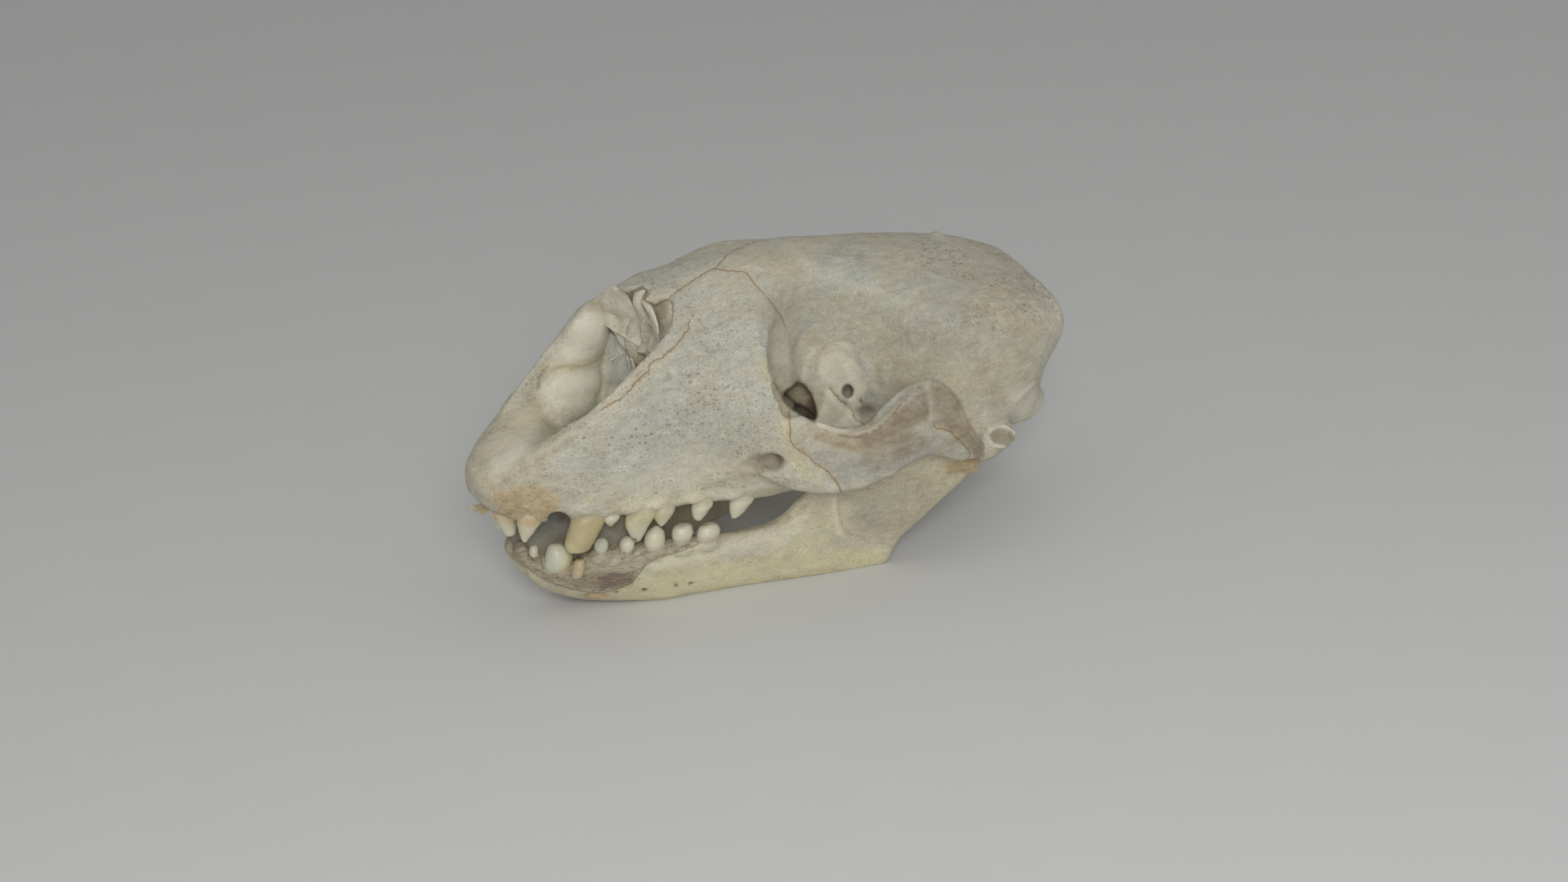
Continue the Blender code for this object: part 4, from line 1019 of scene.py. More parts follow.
def place_points(thing, points):
    """Moves a mesh's points to these places in the skull frame."""
    thing.data.vertices.foreach_set("co", to_model(points).astype(np.float32).ravel())
    thing.data.update()


def only(*things):
    """Selects these objects and nothing else, and makes the first one active."""
    bpy.ops.object.select_all(action="DESELECT")
    for thing in things:
        thing.select_set(True)
    bpy.context.view_layer.objects.active = things[0]


def finished_with(thing, kind, **settings):
    """Adds a modifier with these settings to a thing and applies it."""
    only(thing)
    bpy.ops.object.modifier_add(type=kind)
    modifier = thing.modifiers[-1]
    for name, value in settings.items():
        setattr(modifier, name, value)
    bpy.ops.object.modifier_apply(modifier=modifier.name)
    return thing


def joined(things, name):
    """One object of several."""
    only(*things)
    bpy.ops.object.join()
    things[0].name = name
    return things[0]


def facing_out(thing):
    """Turns a closed mesh's faces outwards."""
    only(thing)
    bpy.ops.object.mode_set(mode="EDIT")
    bpy.ops.mesh.select_all(action="SELECT")
    bpy.ops.mesh.normals_make_consistent(inside=False)
    bpy.ops.object.mode_set(mode="OBJECT")
    return thing


def unit_sphere(name, segments, ring_count):
    """A new sphere of radius 1 and the array of its points."""
    bpy.ops.object.select_all(action="DESELECT")
    bpy.ops.mesh.primitive_uv_sphere_add(segments=segments, ring_count=ring_count, radius=1.0)
    thing = bpy.context.object
    thing.name = name
    return thing, rows_of(thing.data.vertices, "co")


def lofted(name, rings):
    """Closed skin through rings of points: a sphere whose rings are moved onto them."""
    rings = np.asarray(rings, float)
    levels, sides = rings.shape[:2]
    thing, sphere = unit_sphere(name, sides, levels + 1)
    level = np.rint(np.arccos(np.clip(sphere[:, 2], -1, 1)) / (math.pi / (levels + 1))).astype(int)
    turn = np.rint(np.arctan2(sphere[:, 1], sphere[:, 0]) / (2 * math.pi / sides)).astype(int) % sides
    centres = np.vstack((rings[:1].mean(1), rings[-1:].mean(1)))
    points = rings[np.clip(level - 1, 0, levels - 1), turn]
    points[level == 0] = centres[0]
    points[level == levels + 1] = centres[1]
    place_points(thing, points)
    return facing_out(thing)


def ball(name, centre, half_sizes, turn=0.0, side=1):
    """Ellipsoid in the skull frame, turned about the vertical by degrees; side -1 mirrors it."""
    thing, sphere = unit_sphere(name, BALL_SEGMENTS, BALL_RINGS)
    turned = Matrix.Rotation(math.radians(turn), 3, "Z")
    points = (sphere * half_sizes) @ np.array(turned).T + centre
    points[:, 1] *= side
    place_points(thing, points)
    return facing_out(thing)


def balls(name, table):
    """The ellipsoids of a table in one object, on both sides where they aren't on the mid line."""
    made = []
    for side in BOTH:
        for centre, half_sizes, turn in table:
            if centre[1] or side > 0:
                made.append(ball(name, centre, half_sizes, turn, side))
    return joined(made, name)


def one_skin(thing, grain):
    """Joins a thing's bodies into one skin of even facets."""
    return finished_with(thing, "REMESH", mode="VOXEL", voxel_size=grain * MM)


def cut(thing, cutter):
    """Cuts a shape out of a thing and removes the cutter."""
    finished_with(thing, "BOOLEAN", operation="DIFFERENCE", solver="EXACT", object=cutter)
    bpy.data.objects.remove(cutter)
    return thing


def prism(name, view, outline, first_y, second_y, side=-1):
    """Cutter that follows the lines of sight through an outline of pixels, from one y to another."""
    rings = np.array([[view.at_y(pixel, y) for pixel in outline] for y in (first_y, second_y)])
    return one_skin(lofted(name, rings * (1, -side, 1)), FINE_GRAIN)


def sockets(name, table, side):
    """Swellings of the jaw bone round the necks of a row of teeth."""
    return [ball(name, centre, half_sizes, side=side) for centre, half_sizes in table]


def mirrored_copy(thing, name):
    """The same piece on the skull's other side, with its own mesh."""
    only(thing)
    bpy.ops.object.duplicate()
    twin = bpy.context.object
    twin.name = name
    place_points(twin, points_of(twin) * (1, -1, 1))
    return facing_out(twin)


def roughened(thing, name, size, height):
    """Gives a thing's surface slow or fine swells: their size and full height in millimetres."""
    clouds = bpy.data.textures.new(name, "CLOUDS")
    clouds.noise_scale = size * MM
    clouds.noise_depth = 2
    return finished_with(thing, "DISPLACE", texture=clouds, texture_coords="LOCAL", strength=height * MM,
                         mid_level=0.5)


def thinned(thing):
    """Takes triangles out of a thing, from its flattest places first, until it has few enough."""
    triangles = sum(len(face.vertices) - 2 for face in thing.data.polygons)
    if triangles > MOST_TRIANGLES:
        finished_with(thing, "DECIMATE", ratio=MOST_TRIANGLES / triangles)


# The photograph's camera


class PhotoView:
    """The photograph's camera, in the skull frame."""

    def __init__(self, stage):
        azimuth, elevation, roll = (math.radians(a) for a in (stage.azimuth, stage.elevation, stage.roll))
        self.focal = stage.lens / SENSOR_WIDTH * PHOTO_SIZE[0]
        level = np.array((math.cos(azimuth), math.sin(azimuth), 0.0))
        self.back = np.array((math.sin(azimuth) * math.cos(elevation),
                              -math.cos(azimuth) * math.cos(elevation), math.sin(elevation)))
        upright = np.cross(self.back, level)
        self.right = level * math.cos(roll) + upright * math.sin(roll)
        self.up = upright * math.cos(roll) - level * math.sin(roll)
        self.place = np.array((0.0, 0.0, stage.aim_height)) + self.back * (self.focal / stage.scale)

    def pixels(self, points):
        """Where points of the skull frame show, in pixels."""
        away = np.asarray(points, float) - self.place
        depth = -(away @ self.back)
        return np.stack((PHOTO_SIZE[0] / 2 + self.focal * (away @ self.right) / depth,
                         PHOTO_SIZE[1] / 2 - self.focal * (away @ self.up) / depth), -1)

    def ray(self, pixel):
        """Direction of the line of sight through a pixel."""
        sight = (-self.back + self.right * (pixel[0] - PHOTO_SIZE[0] / 2) / self.focal
                 + self.up * (PHOTO_SIZE[1] / 2 - pixel[1]) / self.focal)
        return sight / np.linalg.norm(sight)

    def at_y(self, pixel, y):
        """The point on a pixel's line of sight with this y."""
        sight = self.ray(pixel)
        return self.place + sight * (y - self.place[1]) / sight[1]


# Shaping and toning by a skin's points


def outline_reach(points, outline):
    """Signed distance of flat points to a closed outline, positive inside it."""
    outline = np.asarray(outline, float)
    inside = np.zeros(len(points), bool)
    nearest = np.full(len(points), np.inf)
    for start, end in zip(outline, np.roll(outline, -1, 0)):
        run = end - start
        share = np.clip((points - start) @ run / (run @ run), 0, 1)
        nearest = np.minimum(nearest, np.linalg.norm(points - start - share[:, None] * run, axis=1))
        crosses = (start[1] > points[:, 1]) != (end[1] > points[:, 1])
        if start[1] != end[1]:
            at = start[0] + (points[:, 1] - start[1]) * run[0] / run[1]
            inside ^= crosses & (points[:, 0] < at)
    return np.where(inside, nearest, -nearest)


class Clay:
    """A piece's surface in the skull frame, shaped by moving its points along their normals."""

    def __init__(self, thing, view):
        self.thing = thing
        self.view = view
        self.points = points_of(thing)
        self.refresh()

    def refresh(self):
        """Puts the points in the mesh and reads its normals again."""
        place_points(self.thing, self.points)
        self.normals = rows_of(self.thing.data.vertex_normals, "vector").astype(float)
        self.tree = None

    def surface(self):
        """Search tree of the piece's faces."""
        if self.tree is None:
            faces = [tuple(face.vertices) for face in self.thing.data.polygons]
            self.tree = BVHTree.FromPolygons(self.points.tolist(), faces)
        return self.tree

    def seen(self, pixel):
        """The point of the surface that a pixel shows, or None."""
        hit = self.surface().ray_cast(Vector(self.view.place), Vector(self.view.ray(pixel)))
        return None if hit[0] is None else np.array(hit[0])

    def route(self, pixels, side=-1):
        """Points on the surface along a line of pixels; side 1 gives its mirror image on the right."""
        found = [self.seen(pixel) for pixel in filled_in(pixels, ROUTE_STEPS)]
        found = [point for point in found if point is not None]
        if side > 0:
            found = [np.array(self.surface().find_nearest(Vector((p[0], -p[1], p[2])))[0]) for p in found]
        return np.array(found)

    def gap_to(self, route, reach):
        """Signed distance of each point to a route: its size and, by sign, the side; reach where further."""
        low = route.min(0) - reach
        high = route.max(0) + reach
        near = np.flatnonzero(((self.points > low) & (self.points < high)).all(1))
        signed = np.full(len(self.points), float(reach))
        best = np.full(len(near), float(reach))
        side = np.ones(len(near))
        here = self.points[near]
        for start, end in zip(route, route[1:]):
            run = end - start
            share = np.clip((here - start) @ run / max(float(run @ run), TINY), 0, 1)
            away = here - start - share[:, None] * run
            gap = np.linalg.norm(away, axis=1)
            closer = gap < best
            best[closer] = gap[closer]
            across = np.cross(run, self.normals[near[closer]])
            side[closer] = np.where((away[closer] * across).sum(1) < 0, -1.0, 1.0)
        signed[near] = best * side
        return signed

    def press(self, amount):
        """Moves each point along its normal by its own amount in millimetres."""
        self.points = self.points + self.normals * np.asarray(amount)[:, None]
        self.refresh()

    def line(self, route, half_width, height):
        """A ridge along a route, or a groove where the height is negative."""
        reach = half_width * RIDGE_REACH
        gap = np.abs(self.gap_to(route, reach))
        self.press(height * np.exp(-(gap / half_width) ** 2) * (gap < reach))

    def near(self, centre, half_sizes):
        """1 at a place, falling smoothly to 0 at about twice the half sizes."""
        away = (self.points - centre) / half_sizes
        return np.exp(-(away ** 2).sum(1))

    def lump(self, centre, half_sizes, height):
        """A swelling at a place, or a dimple where the height is negative."""
        self.press(height * self.near(np.asarray(centre, float), np.asarray(half_sizes, float)))

    def soften(self, centre, half_sizes, rounds):
        """Evens out the surface at a place, moving its points towards the middles of their neighbours."""
        share = self.near(np.asarray(centre, float), np.asarray(half_sizes, float))
        pairs = rows_of(self.thing.data.edges, "vertices", 2, np.int32)
        pairs = pairs[share[pairs].max(1) > BRUSH_EDGE]
        first = np.concatenate((pairs[:, 0], pairs[:, 1]))
        second = np.concatenate((pairs[:, 1], pairs[:, 0]))
        size = len(self.points)
        count = np.maximum(np.bincount(first, minlength=size), 1)
        there = (share > BRUSH_EDGE)[:, None]
        for _ in range(rounds):
            total = np.stack([np.bincount(first, self.points[second, axis], size) for axis in range(3)], 1)
            moved = self.points + share[:, None] * (total / count[:, None] - self.points)
            self.points = np.where(there, moved, self.points)
        self.refresh()

    def folded(self):
        """The points, with those of the right side mirrored to the left."""
        return self.points * (1, 0, 1) - np.abs(self.points) * (0, 1, 0)

    def in_view(self, points):
        """1 for each point that the photograph would show past this piece, 0 for the rest."""
        tree = self.surface()
        seen = np.zeros(len(points))
        for index, point in enumerate(points):
            sight = self.view.place - point
            sight = Vector(sight / np.linalg.norm(sight))
            seen[index] = tree.ray_cast(Vector(point) + sight * SIGHT_START, sight)[0] is None
        return seen

    def sighted(self):
        """The pixel of each point, or of its mirror image where only that shows, and 1 where either shows."""
        twins = self.points * (1, -1, 1)
        own = self.in_view(self.points)
        spots = np.where(own[:, None] > 0, self.view.pixels(self.points), self.view.pixels(twins))
        return spots, np.maximum(own, self.in_view(twins))

    def write(self, name, values):
        """Stores a value or three for each point, for the materials."""
        values = np.asarray(values, np.float32)
        kind = "FLOAT" if values.ndim == 1 else "FLOAT_VECTOR"
        layer = self.thing.data.attributes.new(name, kind, "POINT")
        layer.data.foreach_set("value" if values.ndim == 1 else "vector", values.ravel())


def shape_by_tables(clay, lines, lumps, pits):
    """Presses a piece's grooves, swellings and holes, on both sides; returns the painted shade in the holes.
    """
    routes = []
    for _, pixels, half_width, height in lines:
        for side in BOTH:
            routes.append((clay.route(pixels, side), half_width, height))
    holes = []
    for _, pixel, half_sizes, depth, darkness in pits:
        centre = clay.seen(pixel)
        if centre is not None:
            holes += [(centre * (1, side, 1), half_sizes, depth, darkness) for side in BOTH]
    for _, centre, half_sizes, height in lumps:
        for side in BOTH:
            if centre[1] or side > 0:
                clay.lump(np.array(centre) * (1, side, 1), half_sizes, height)
    painted_shade = np.zeros(len(clay.points))
    for centre, half_sizes, depth, darkness in holes:
        there = clay.near(centre, np.array(half_sizes))
        painted_shade = np.maximum(painted_shade, darkness * smooth_step(there, *PIT_SHADE))
        clay.press(-depth * there)
    for route, half_width, height in routes:
        if len(route) > 1:
            clay.line(route, half_width, height)
    return painted_shade


def shape_jaw(clay, side):
    """The muscle hollow and the small holes of one jaw half; returns the painted shade in the holes."""
    centre, half_sizes, height = MUSCLE_HOLLOW
    clay.lump(np.array(centre) * (1, -side, 1), half_sizes, height)
    painted_shade = np.zeros(len(clay.points))
    for pixel, radius, depth in JAW_HOLES:
        places = clay.route((pixel, pixel), side)
        if len(places):
            there = clay.near(places[0], radius)
            painted_shade = np.maximum(painted_shade, smooth_step(there, *JAW_HOLE_SHADE))
            clay.press(-depth * there)
    return painted_shade


def painted_inner_shade(clay):
    """Painted shade by how deep each point lies inside the skull: 1 in the nose and the braincase, 0 outside.
    """
    x, y, z = clay.points.T
    in_nose = NOSE_PAINTED_SHADE * within(x, *NOSE_DARK_X) * within(z, *NOSE_DARK_Z)
    in_nose *= 1 - smooth_step(np.abs(y), *NOSE_DARK_BREADTH)
    away = np.sqrt((((clay.points - BRAIN_MIDDLE) / BRAIN_HALF_SIZES) ** 2).sum(1))
    in_brain = 1 - smooth_step(away, *BRAIN_WALL)
    return np.maximum(in_nose, in_brain)


def cranium_pores(clay):
    """How porous each point of the cranium is: the face and the back are, the eye sockets and cheeks less."""
    x, _, z = clay.points.T
    face = within(x, *FACE_PORES_X)
    back = smooth_step(x, *BACK_PORES_X) * smooth_step(z, *BACK_PORES_Z)
    return np.clip(BASE_POROSITY + FACE_POROSITY * face + BACK_POROSITY * back, 0, MOST_POROSITY)


def write_seams(clay, groups):
    """Stores how far each point is from the seams, signed and unsigned, for up to three groups of them."""
    signed = np.full((len(clay.points), 3), FAR_FROM_SEAMS)
    for group, lines in enumerate(groups):
        for pixels in lines:
            for side in BOTH:
                route = clay.route(pixels, side)
                if len(route) > 1:
                    gap = clay.gap_to(route, SEAM_REACH)
                    closer = np.abs(gap) < np.abs(signed[:, group])
                    signed[closer, group] = gap[closer]
    clay.write("seam_side", signed)
    clay.write("seam_near", np.abs(signed))


def painted(clay, strokes, sides, patches=()):
    """How much of each tone a piece's points take from strokes, and from patches where they are seen."""
    shares = np.zeros((len(clay.points), len(TONES)))
    for tone, pixels, half_width, strength in strokes:
        for side in sides:
            route = clay.route(pixels, side)
            if len(route) > 1:
                reach = half_width * STROKE_REACH
                gap = np.abs(clay.gap_to(route, reach))
                share = strength * np.exp(-(gap / half_width) ** 2) * (gap < reach)
                column = TONES.index(tone)
                shares[:, column] = np.maximum(shares[:, column], share)
    if patches:
        spots, seen = clay.sighted()
        for tone, outline, softness, strength in patches:
            share = strength * seen * smooth_step(outline_reach(spots, outline), -softness, softness)
            column = TONES.index(tone)
            shares[:, column] = np.maximum(shares[:, column], share)
    return shares


def write_tones(clay, shares):
    """Stores the shares of the six tones."""
    clay.write("tint", shares[:, :3])
    clay.write("tone", shares[:, 3:])


# Materials


class Value:
    """A number socket of a material; arithmetic on it adds the Math nodes."""

    def __init__(self, sheet, socket):
        self.sheet = sheet
        self.socket = socket

    def math(self, operation, *others):
        """A Math node on this value and others."""
        node = self.sheet.node("ShaderNodeMath", {"operation": operation}, dict(enumerate((self, *others))))
        return Value(self.sheet, node.outputs[0])

    def __add__(self, other):
        return self.math("ADD", other)

    __radd__ = __add__

    def __sub__(self, other):
        return self.math("SUBTRACT", other)

    def __rsub__(self, other):
        return (self * -1.0) + other

    def __mul__(self, other):
        return self.math("MULTIPLY", other)

    __rmul__ = __mul__

    def size(self):
        """The value without its sign."""
        return self.math("ABSOLUTE")

    def most(self, other):
        """The larger of two values."""
        return self.math("MAXIMUM", other)

    def rise(self, low, high):
        """0 below low, 1 above high, and a smooth rise between; falls where low is the higher one."""
        node = self.sheet.node("ShaderNodeMapRange", {"interpolation_type": "SMOOTHSTEP"},
                               {"Value": self, "From Min": min(low, high), "From Max": max(low, high),
                                "To Min": 0.0 if low < high else 1.0, "To Max": 1.0 if low < high else 0.0})
        return Value(self.sheet, node.outputs["Result"])


class Sheet:
    """The nodes of one material."""

    def __init__(self, name):
        self.material = bpy.data.materials.new(name)
        self.material.use_nodes = True
        self.nodes = self.material.node_tree.nodes
        self.links = self.material.node_tree.links
        self.shader = self.nodes["Principled BSDF"]
        self.place = self.node("ShaderNodeTexCoord").outputs["Object"]

    def node(self, kind, settings=None, inputs=None):
        """A node of a kind, with its settings, then its sockets' values or links."""
        node = self.nodes.new(kind)
        for name, value in (settings or {}).items():
            setattr(node, name, value)
        for name, value in (inputs or {}).items():
            self.feed(node.inputs[name], value)
        return node

    def feed(self, socket, value):
        """Links a socket, or sets its own value."""
        if isinstance(value, Value):
            value = value.socket
        if isinstance(value, bpy.types.NodeSocket):
            self.links.new(value, socket)
        elif socket.type == "RGBA":
            socket.default_value = (*tuple(value)[:3], 1.0)
        else:
            socket.default_value = value

    def noise(self, scale, detail=3.0, roughness=0.5, distortion=0.0, at=None):
        """Noise from 0 to 1, with the scale in repeats for a metre."""
        node = self.node("ShaderNodeTexNoise", None, {
            "Vector": at or self.place, "Scale": scale, "Detail": detail, "Roughness": roughness,
            "Distortion": distortion})
        return Value(self, node.outputs[0])

    def cells(self, scale, at=None):
        """Distance to the nearest of scattered points, and two random values of that point."""
        node = self.node("ShaderNodeTexVoronoi", {"feature": "F1"},
                         {"Vector": at or self.place, "Scale": scale})
        split = self.node("ShaderNodeSeparateColor", None, {"Color": node.outputs["Color"]})
        outputs = (node.outputs["Distance"], split.outputs[0], split.outputs[1])
        return [Value(self, output) for output in outputs]

    def stretched(self, scale, turn=(0.0, 0.0, 0.0)):
        """Object coordinates scaled and turned, for streaks."""
        node = self.node("ShaderNodeMapping", None, {"Vector": self.place, "Scale": scale, "Rotation": turn})
        return node.outputs["Vector"]

    def three(self, name):
        """The three values that the points carry under a name."""
        layer = self.node("ShaderNodeAttribute", {"attribute_name": name})
        split = self.node("ShaderNodeSeparateXYZ", None, {"Vector": layer.outputs["Vector"]})
        return [Value(self, socket) for socket in split.outputs]

    def one(self, name):
        """The value that the points carry under a name."""
        return Value(self, self.node("ShaderNodeAttribute", {"attribute_name": name}).outputs["Fac"])

    def mix(self, factor, first, second):
        """Two colours mixed by a factor."""
        node = self.node("ShaderNodeMix", {"data_type": "RGBA"})
        self.feed(node.inputs[0], factor)
        self.feed(node.inputs[6], first)
        self.feed(node.inputs[7], second)
        return node.outputs[2]

    def layers(self, colour, layers):
        """A colour with others laid over it in turn, each by its own share."""
        for share, tone in layers:
            colour = self.mix(share, colour, tone)
        return colour

    def bump(self, height):
        """Relief from a height in millimetres."""
        node = self.node("ShaderNodeBump", None, {"Height": height, "Strength": 1.0, "Distance": MM})
        self.links.new(node.outputs["Normal"], self.shader.inputs["Normal"])

    def surface(self, colour, roughness):
        """Feeds the shader's colour and roughness."""
        self.feed(self.shader.inputs["Base Color"], colour)
        self.feed(self.shader.inputs["Roughness"], roughness)


def bone_pores(sheet, clear):
    """Large and tiny pores, where the bone is porous and no smooth pale bone lies."""
    presence = sheet.noise(60, 3).rise(0.34, 0.56) * sheet.one("pore") * clear
    gap, chance, size = sheet.cells(430, at=sheet.stretched((0.7, 1.0, 1.0)))
    pore = (gap + size * 0.12).rise(0.34, 0.14) * chance.rise(0.28, 0.44)
    gap, chance, _ = sheet.cells(980, at=sheet.stretched((0.6, 1.0, 1.0)))
    tiny = gap.rise(0.36, 0.12) * chance.rise(0.42, 0.56)
    return (pore * presence).most(tiny * (presence * 0.6 + 0.1))


def bone_sheet(name, colours, clean, second):
    """Bone: two tones in patches, streaks, pores and the tones that its points carry."""
    sheet = Sheet(name)
    patches = sheet.noise(36, 4, 0.55).rise(0.38, 0.62)
    cloud = sheet.noise(150, 5, 0.6)
    ragged = sheet.noise(110, 5, 0.65).rise(0.28, 0.6)
    streaks = sheet.noise(420, 5, 0.65, at=sheet.stretched((0.3, 1.0, 1.0), (0.0, 0.35, 0.2)))
    fibres = streaks.rise(0.48, 0.74)
    mottle = sheet.noise(70, 6, 0.7, at=sheet.stretched((0.6, 1.0, 1.0), (0.0, 0.5, 0.3))).rise(0.48, 0.7)
    speckle = sheet.noise(330, 5, 0.75, at=sheet.stretched((0.7, 1.0, 1.0))).rise(0.5, 0.68)
    grain = sheet.noise(1300, 3, 0.7)
    brown, grey, tan = sheet.three("tint")
    pale, yellow, purple = sheet.three("tone")
    clear = 1.0 - pale * 0.7
    pits = bone_pores(sheet, clear)
    colour = sheet.layers(clean, (
        (patches, second),
        (cloud.rise(0.35, 0.75) * 0.3, colours.grey),
        (pale * 0.9, colours.pale),
        (yellow * (ragged * 0.5 + 0.5), colours.yellow),
        (grey * (ragged * 0.6 + 0.3), colours.grey),
        (tan * (ragged * 0.6 + 0.4), colours.tan),
        (brown * (ragged * 0.35 + fibres * 0.35 + 0.45), colours.brown),
        (purple * (ragged * 0.6 + 0.4), colours.purple),
        (fibres * clear * (tan * 0.3 + 0.26), colours.brown),
        (streaks.rise(0.5, 0.25) * (0.38 - brown * 0.3), colours.pale),
        (mottle * clear * 0.26, colours.brown),
        (speckle * clear * (brown * 0.3 + 0.28), colours.brown),
        (grain.rise(0.52, 0.7) * clear * 0.4, colours.brown),
        (grain.rise(0.48, 0.3) * (0.4 - brown * 0.28), colours.pale),
        (pits * 0.6, colours.brown),
    ))
    return sheet, colour, pits, cloud, streaks * 2.0 + grain * 0.7


def cranium_material(colours):
    """Bone of the cranium with the seams between its parts, and painted shade in its holes and deep inside
    it.
    """
    sheet, colour, pits, cloud, streaks = bone_sheet("skull bone", colours, colours.bone, colours.cream)
    wander = (sheet.noise(260, 2) - 0.5) * 2.2 + (sheet.noise(900, 3) - 0.5) * 1.2
    signed = sheet.three("seam_side")
    near = sheet.three("seam_near")
    seam = None
    halo = None
    for side, close in zip(signed, near):
        offset = (side + wander).size()
        line = offset.rise(0.36, 0.08) * close.rise(2.2, 1.2)
        soft = offset.rise(1.8, 0.2) * close.rise(3.0, 1.0)
        seam = line if seam is None else seam.most(line)
        halo = soft if halo is None else halo.most(soft)
    broken = sheet.noise(120, 3).rise(0.3, 0.55)
    colour = sheet.layers(colour, (
        (halo * broken * 0.35, colours.tan),
        (seam * (broken * 0.42 + 0.12), colours.seam),
        # painted shade in the holes and deep inside the nose and braincase
        (sheet.one("hollow") * 0.85, colours.painted_shade),
    ))
    sheet.surface(colour, roughness=0.62)
    sheet.bump(cloud * 0.22 + streaks * 0.12 - pits * 0.3 - seam * 0.35)
    return sheet.material


def thin_bone_material(colours):
    """Thin bone of the plates in the nose, paler and smoother."""
    sheet, colour, _, cloud, streaks = bone_sheet("thin bone", colours, colours.pale, colours.cream)
    sheet.surface(colour, roughness=0.58)
    sheet.bump(cloud * 0.3 + streaks * 0.2)
    return sheet.material


def mouth_shade_material(colours):
    """Painted shade inside the mouth, on a sheet behind the front teeth: grey-brown, darker above."""
    sheet = Sheet("painted mouth shade")
    folds = sheet.noise(160, 5, 0.6)
    split = sheet.node("ShaderNodeSeparateXYZ", None, {"Vector": sheet.place})
    along, height = Value(sheet, split.outputs["X"]), Value(sheet, split.outputs["Z"])
    colour = sheet.layers(colours.lower_mouth_shade, (
        # painted shade, deepest high up and at the front
        (height.rise(*MOUTH_SHADE_Z) * (along.rise(*MOUTH_SHADE_X) * 0.6 + 0.4), colours.web),
        (folds.rise(0.3, 0.75) * 0.3, colours.grey),
        (sheet.noise(70, 3).rise(0.45, 0.7) * 0.6, colours.purple),
    ))
    sheet.surface(colour, roughness=0.7)
    sheet.bump(folds * 0.5)
    return sheet.material


def jaw_material(colours):
    """Bone of the lower jaw, with the tissue dried on its front and painted shade in its small holes."""
    sheet, colour, pits, cloud, streaks = bone_sheet("jaw bone", colours, colours.jaw, colours.cream)
    brown, _, _ = sheet.three("tint")
    pale, _, purple = sheet.three("tone")
    strands = sheet.noise(480, 5, 0.65, 0.7, at=sheet.stretched((0.35, 1.0, 1.3), (0.0, -0.3, 0.0)))
    skin = sheet.layers(colours.tissue, (
        (sheet.noise(90, 4).rise(0.35, 0.7) * 0.5, colours.cream),
        (strands.rise(0.5, 0.62) * 0.85, colours.cream),
        (strands.rise(0.49, 0.38), colours.brown),
        (pale * 0.55, colours.cream),
        (brown * 0.7, colours.brown),
        (purple * (strands.rise(0.6, 0.42) * 0.65 + 0.4), colours.purple),
    ))
    edge = (sheet.one("tissue") + (sheet.noise(300, 4) - 0.5) * 0.5).rise(0.3, 0.7)
    # The second layer is painted shade in the small holes
    colour = sheet.layers(colour, ((edge * 0.92, skin), (sheet.one("hollow") * 0.9, colours.painted_shade)))
    sheet.surface(colour, roughness=0.58)
    sheet.bump(cloud * 0.2 + streaks * 0.1 - pits * 0.3 + strands * edge * 1.1)
    return sheet.material


def tooth_material(name, enamel, colours):
    """Enamel, browner at the neck, with the stains that its points carry."""
    sheet = Sheet(name)
    brown, grey, tan = sheet.three("tint")
    _, yellow, _ = sheet.three("tone")
    blotch = sheet.noise(220, 4)
    ragged = blotch.rise(0.3, 0.65)
    colour = sheet.layers(enamel, (
        (blotch.rise(0.4, 0.75) * 0.3, colours.yellow),
        (sheet.one("crown").rise(0.3, -0.15) * 0.55, colours.tissue),
        (yellow * 0.8, colours.yellow),
        (grey * 0.7, colours.grey),
        (tan * (ragged * 0.5 + 0.4), colours.tan),
        (brown * (ragged * 0.5 + 0.5), colours.brown),
    ))
    sheet.surface(colour, roughness=0.42)
    sheet.bump(sheet.noise(500, 3) * 0.15)
    return sheet.material


# Pieces


def settle(thing, names, material):
    """Gives a finished piece its material, its place in the skull and its smooth shading."""
    thing.data.materials.clear()
    thing.data.materials.append(material)
    only(thing)
    bpy.ops.object.shade_smooth()
    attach(thing, "root")
    if names:
        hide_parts(*names)
    return thing


def cranium_hollows(view, grain):
    """The spaces cut out of the shell: the nose, the eye sockets, the braincase and the foramina."""
    nose = one_skin(lofted("nose_hollow", outline_rings(NOSE_STATIONS)), grain)
    swellings = [ball("wall_swelling", *swelling) for swelling in WALL_SWELLINGS]
    cut(nose, one_skin(joined(swellings, "wall_swellings"), grain))
    rim = [(pixel, near, pixel, far, half) for pixel, near, far, half in RIM_TRIM]
    made = [nose, one_skin(lofted("rim_trim", plate_rings(view, rim)), grain)]
    for name, table in HOLLOWS:
        made.append(one_skin(balls(name, table), grain))
    return made


def nasal_tips(view):
    """The overhanging tips of the nasal bones, with their notched edge."""
    tips = one_skin(lofted("nasal_tips", outline_rings(NASAL_STATIONS)), FINE_GRAIN)
    for side in BOTH:
        cut(tips, prism("nasal_edge", view, *NASAL_EDGE, side=side))
    return tips


def cranium_additions(view):
    """What grows out of the shell: cheek arches, plates, lumps, the septum and the walls of the nose."""
    grown = [lofted("septum", slab_rings(SEPTUM_STATIONS, 1)), nasal_tips(view),
             balls("lumps", (*CRANIUM_LUMPS, NOSE_SCROLL))]
    for side in BOTH:
        grown.append(lofted("arch", slab_rings(ARCH_STATIONS, side, ARCH_ROUNDNESS)))
        grown.append(lofted("flange", slab_rings(FLANGE_STATIONS, side)))
        grown.append(lofted("pterygoid", slab_rings(PTERYGOID_STATIONS, side)))
        grown += sockets("upper_socket", UPPER_SOCKETS, side)
    return grown


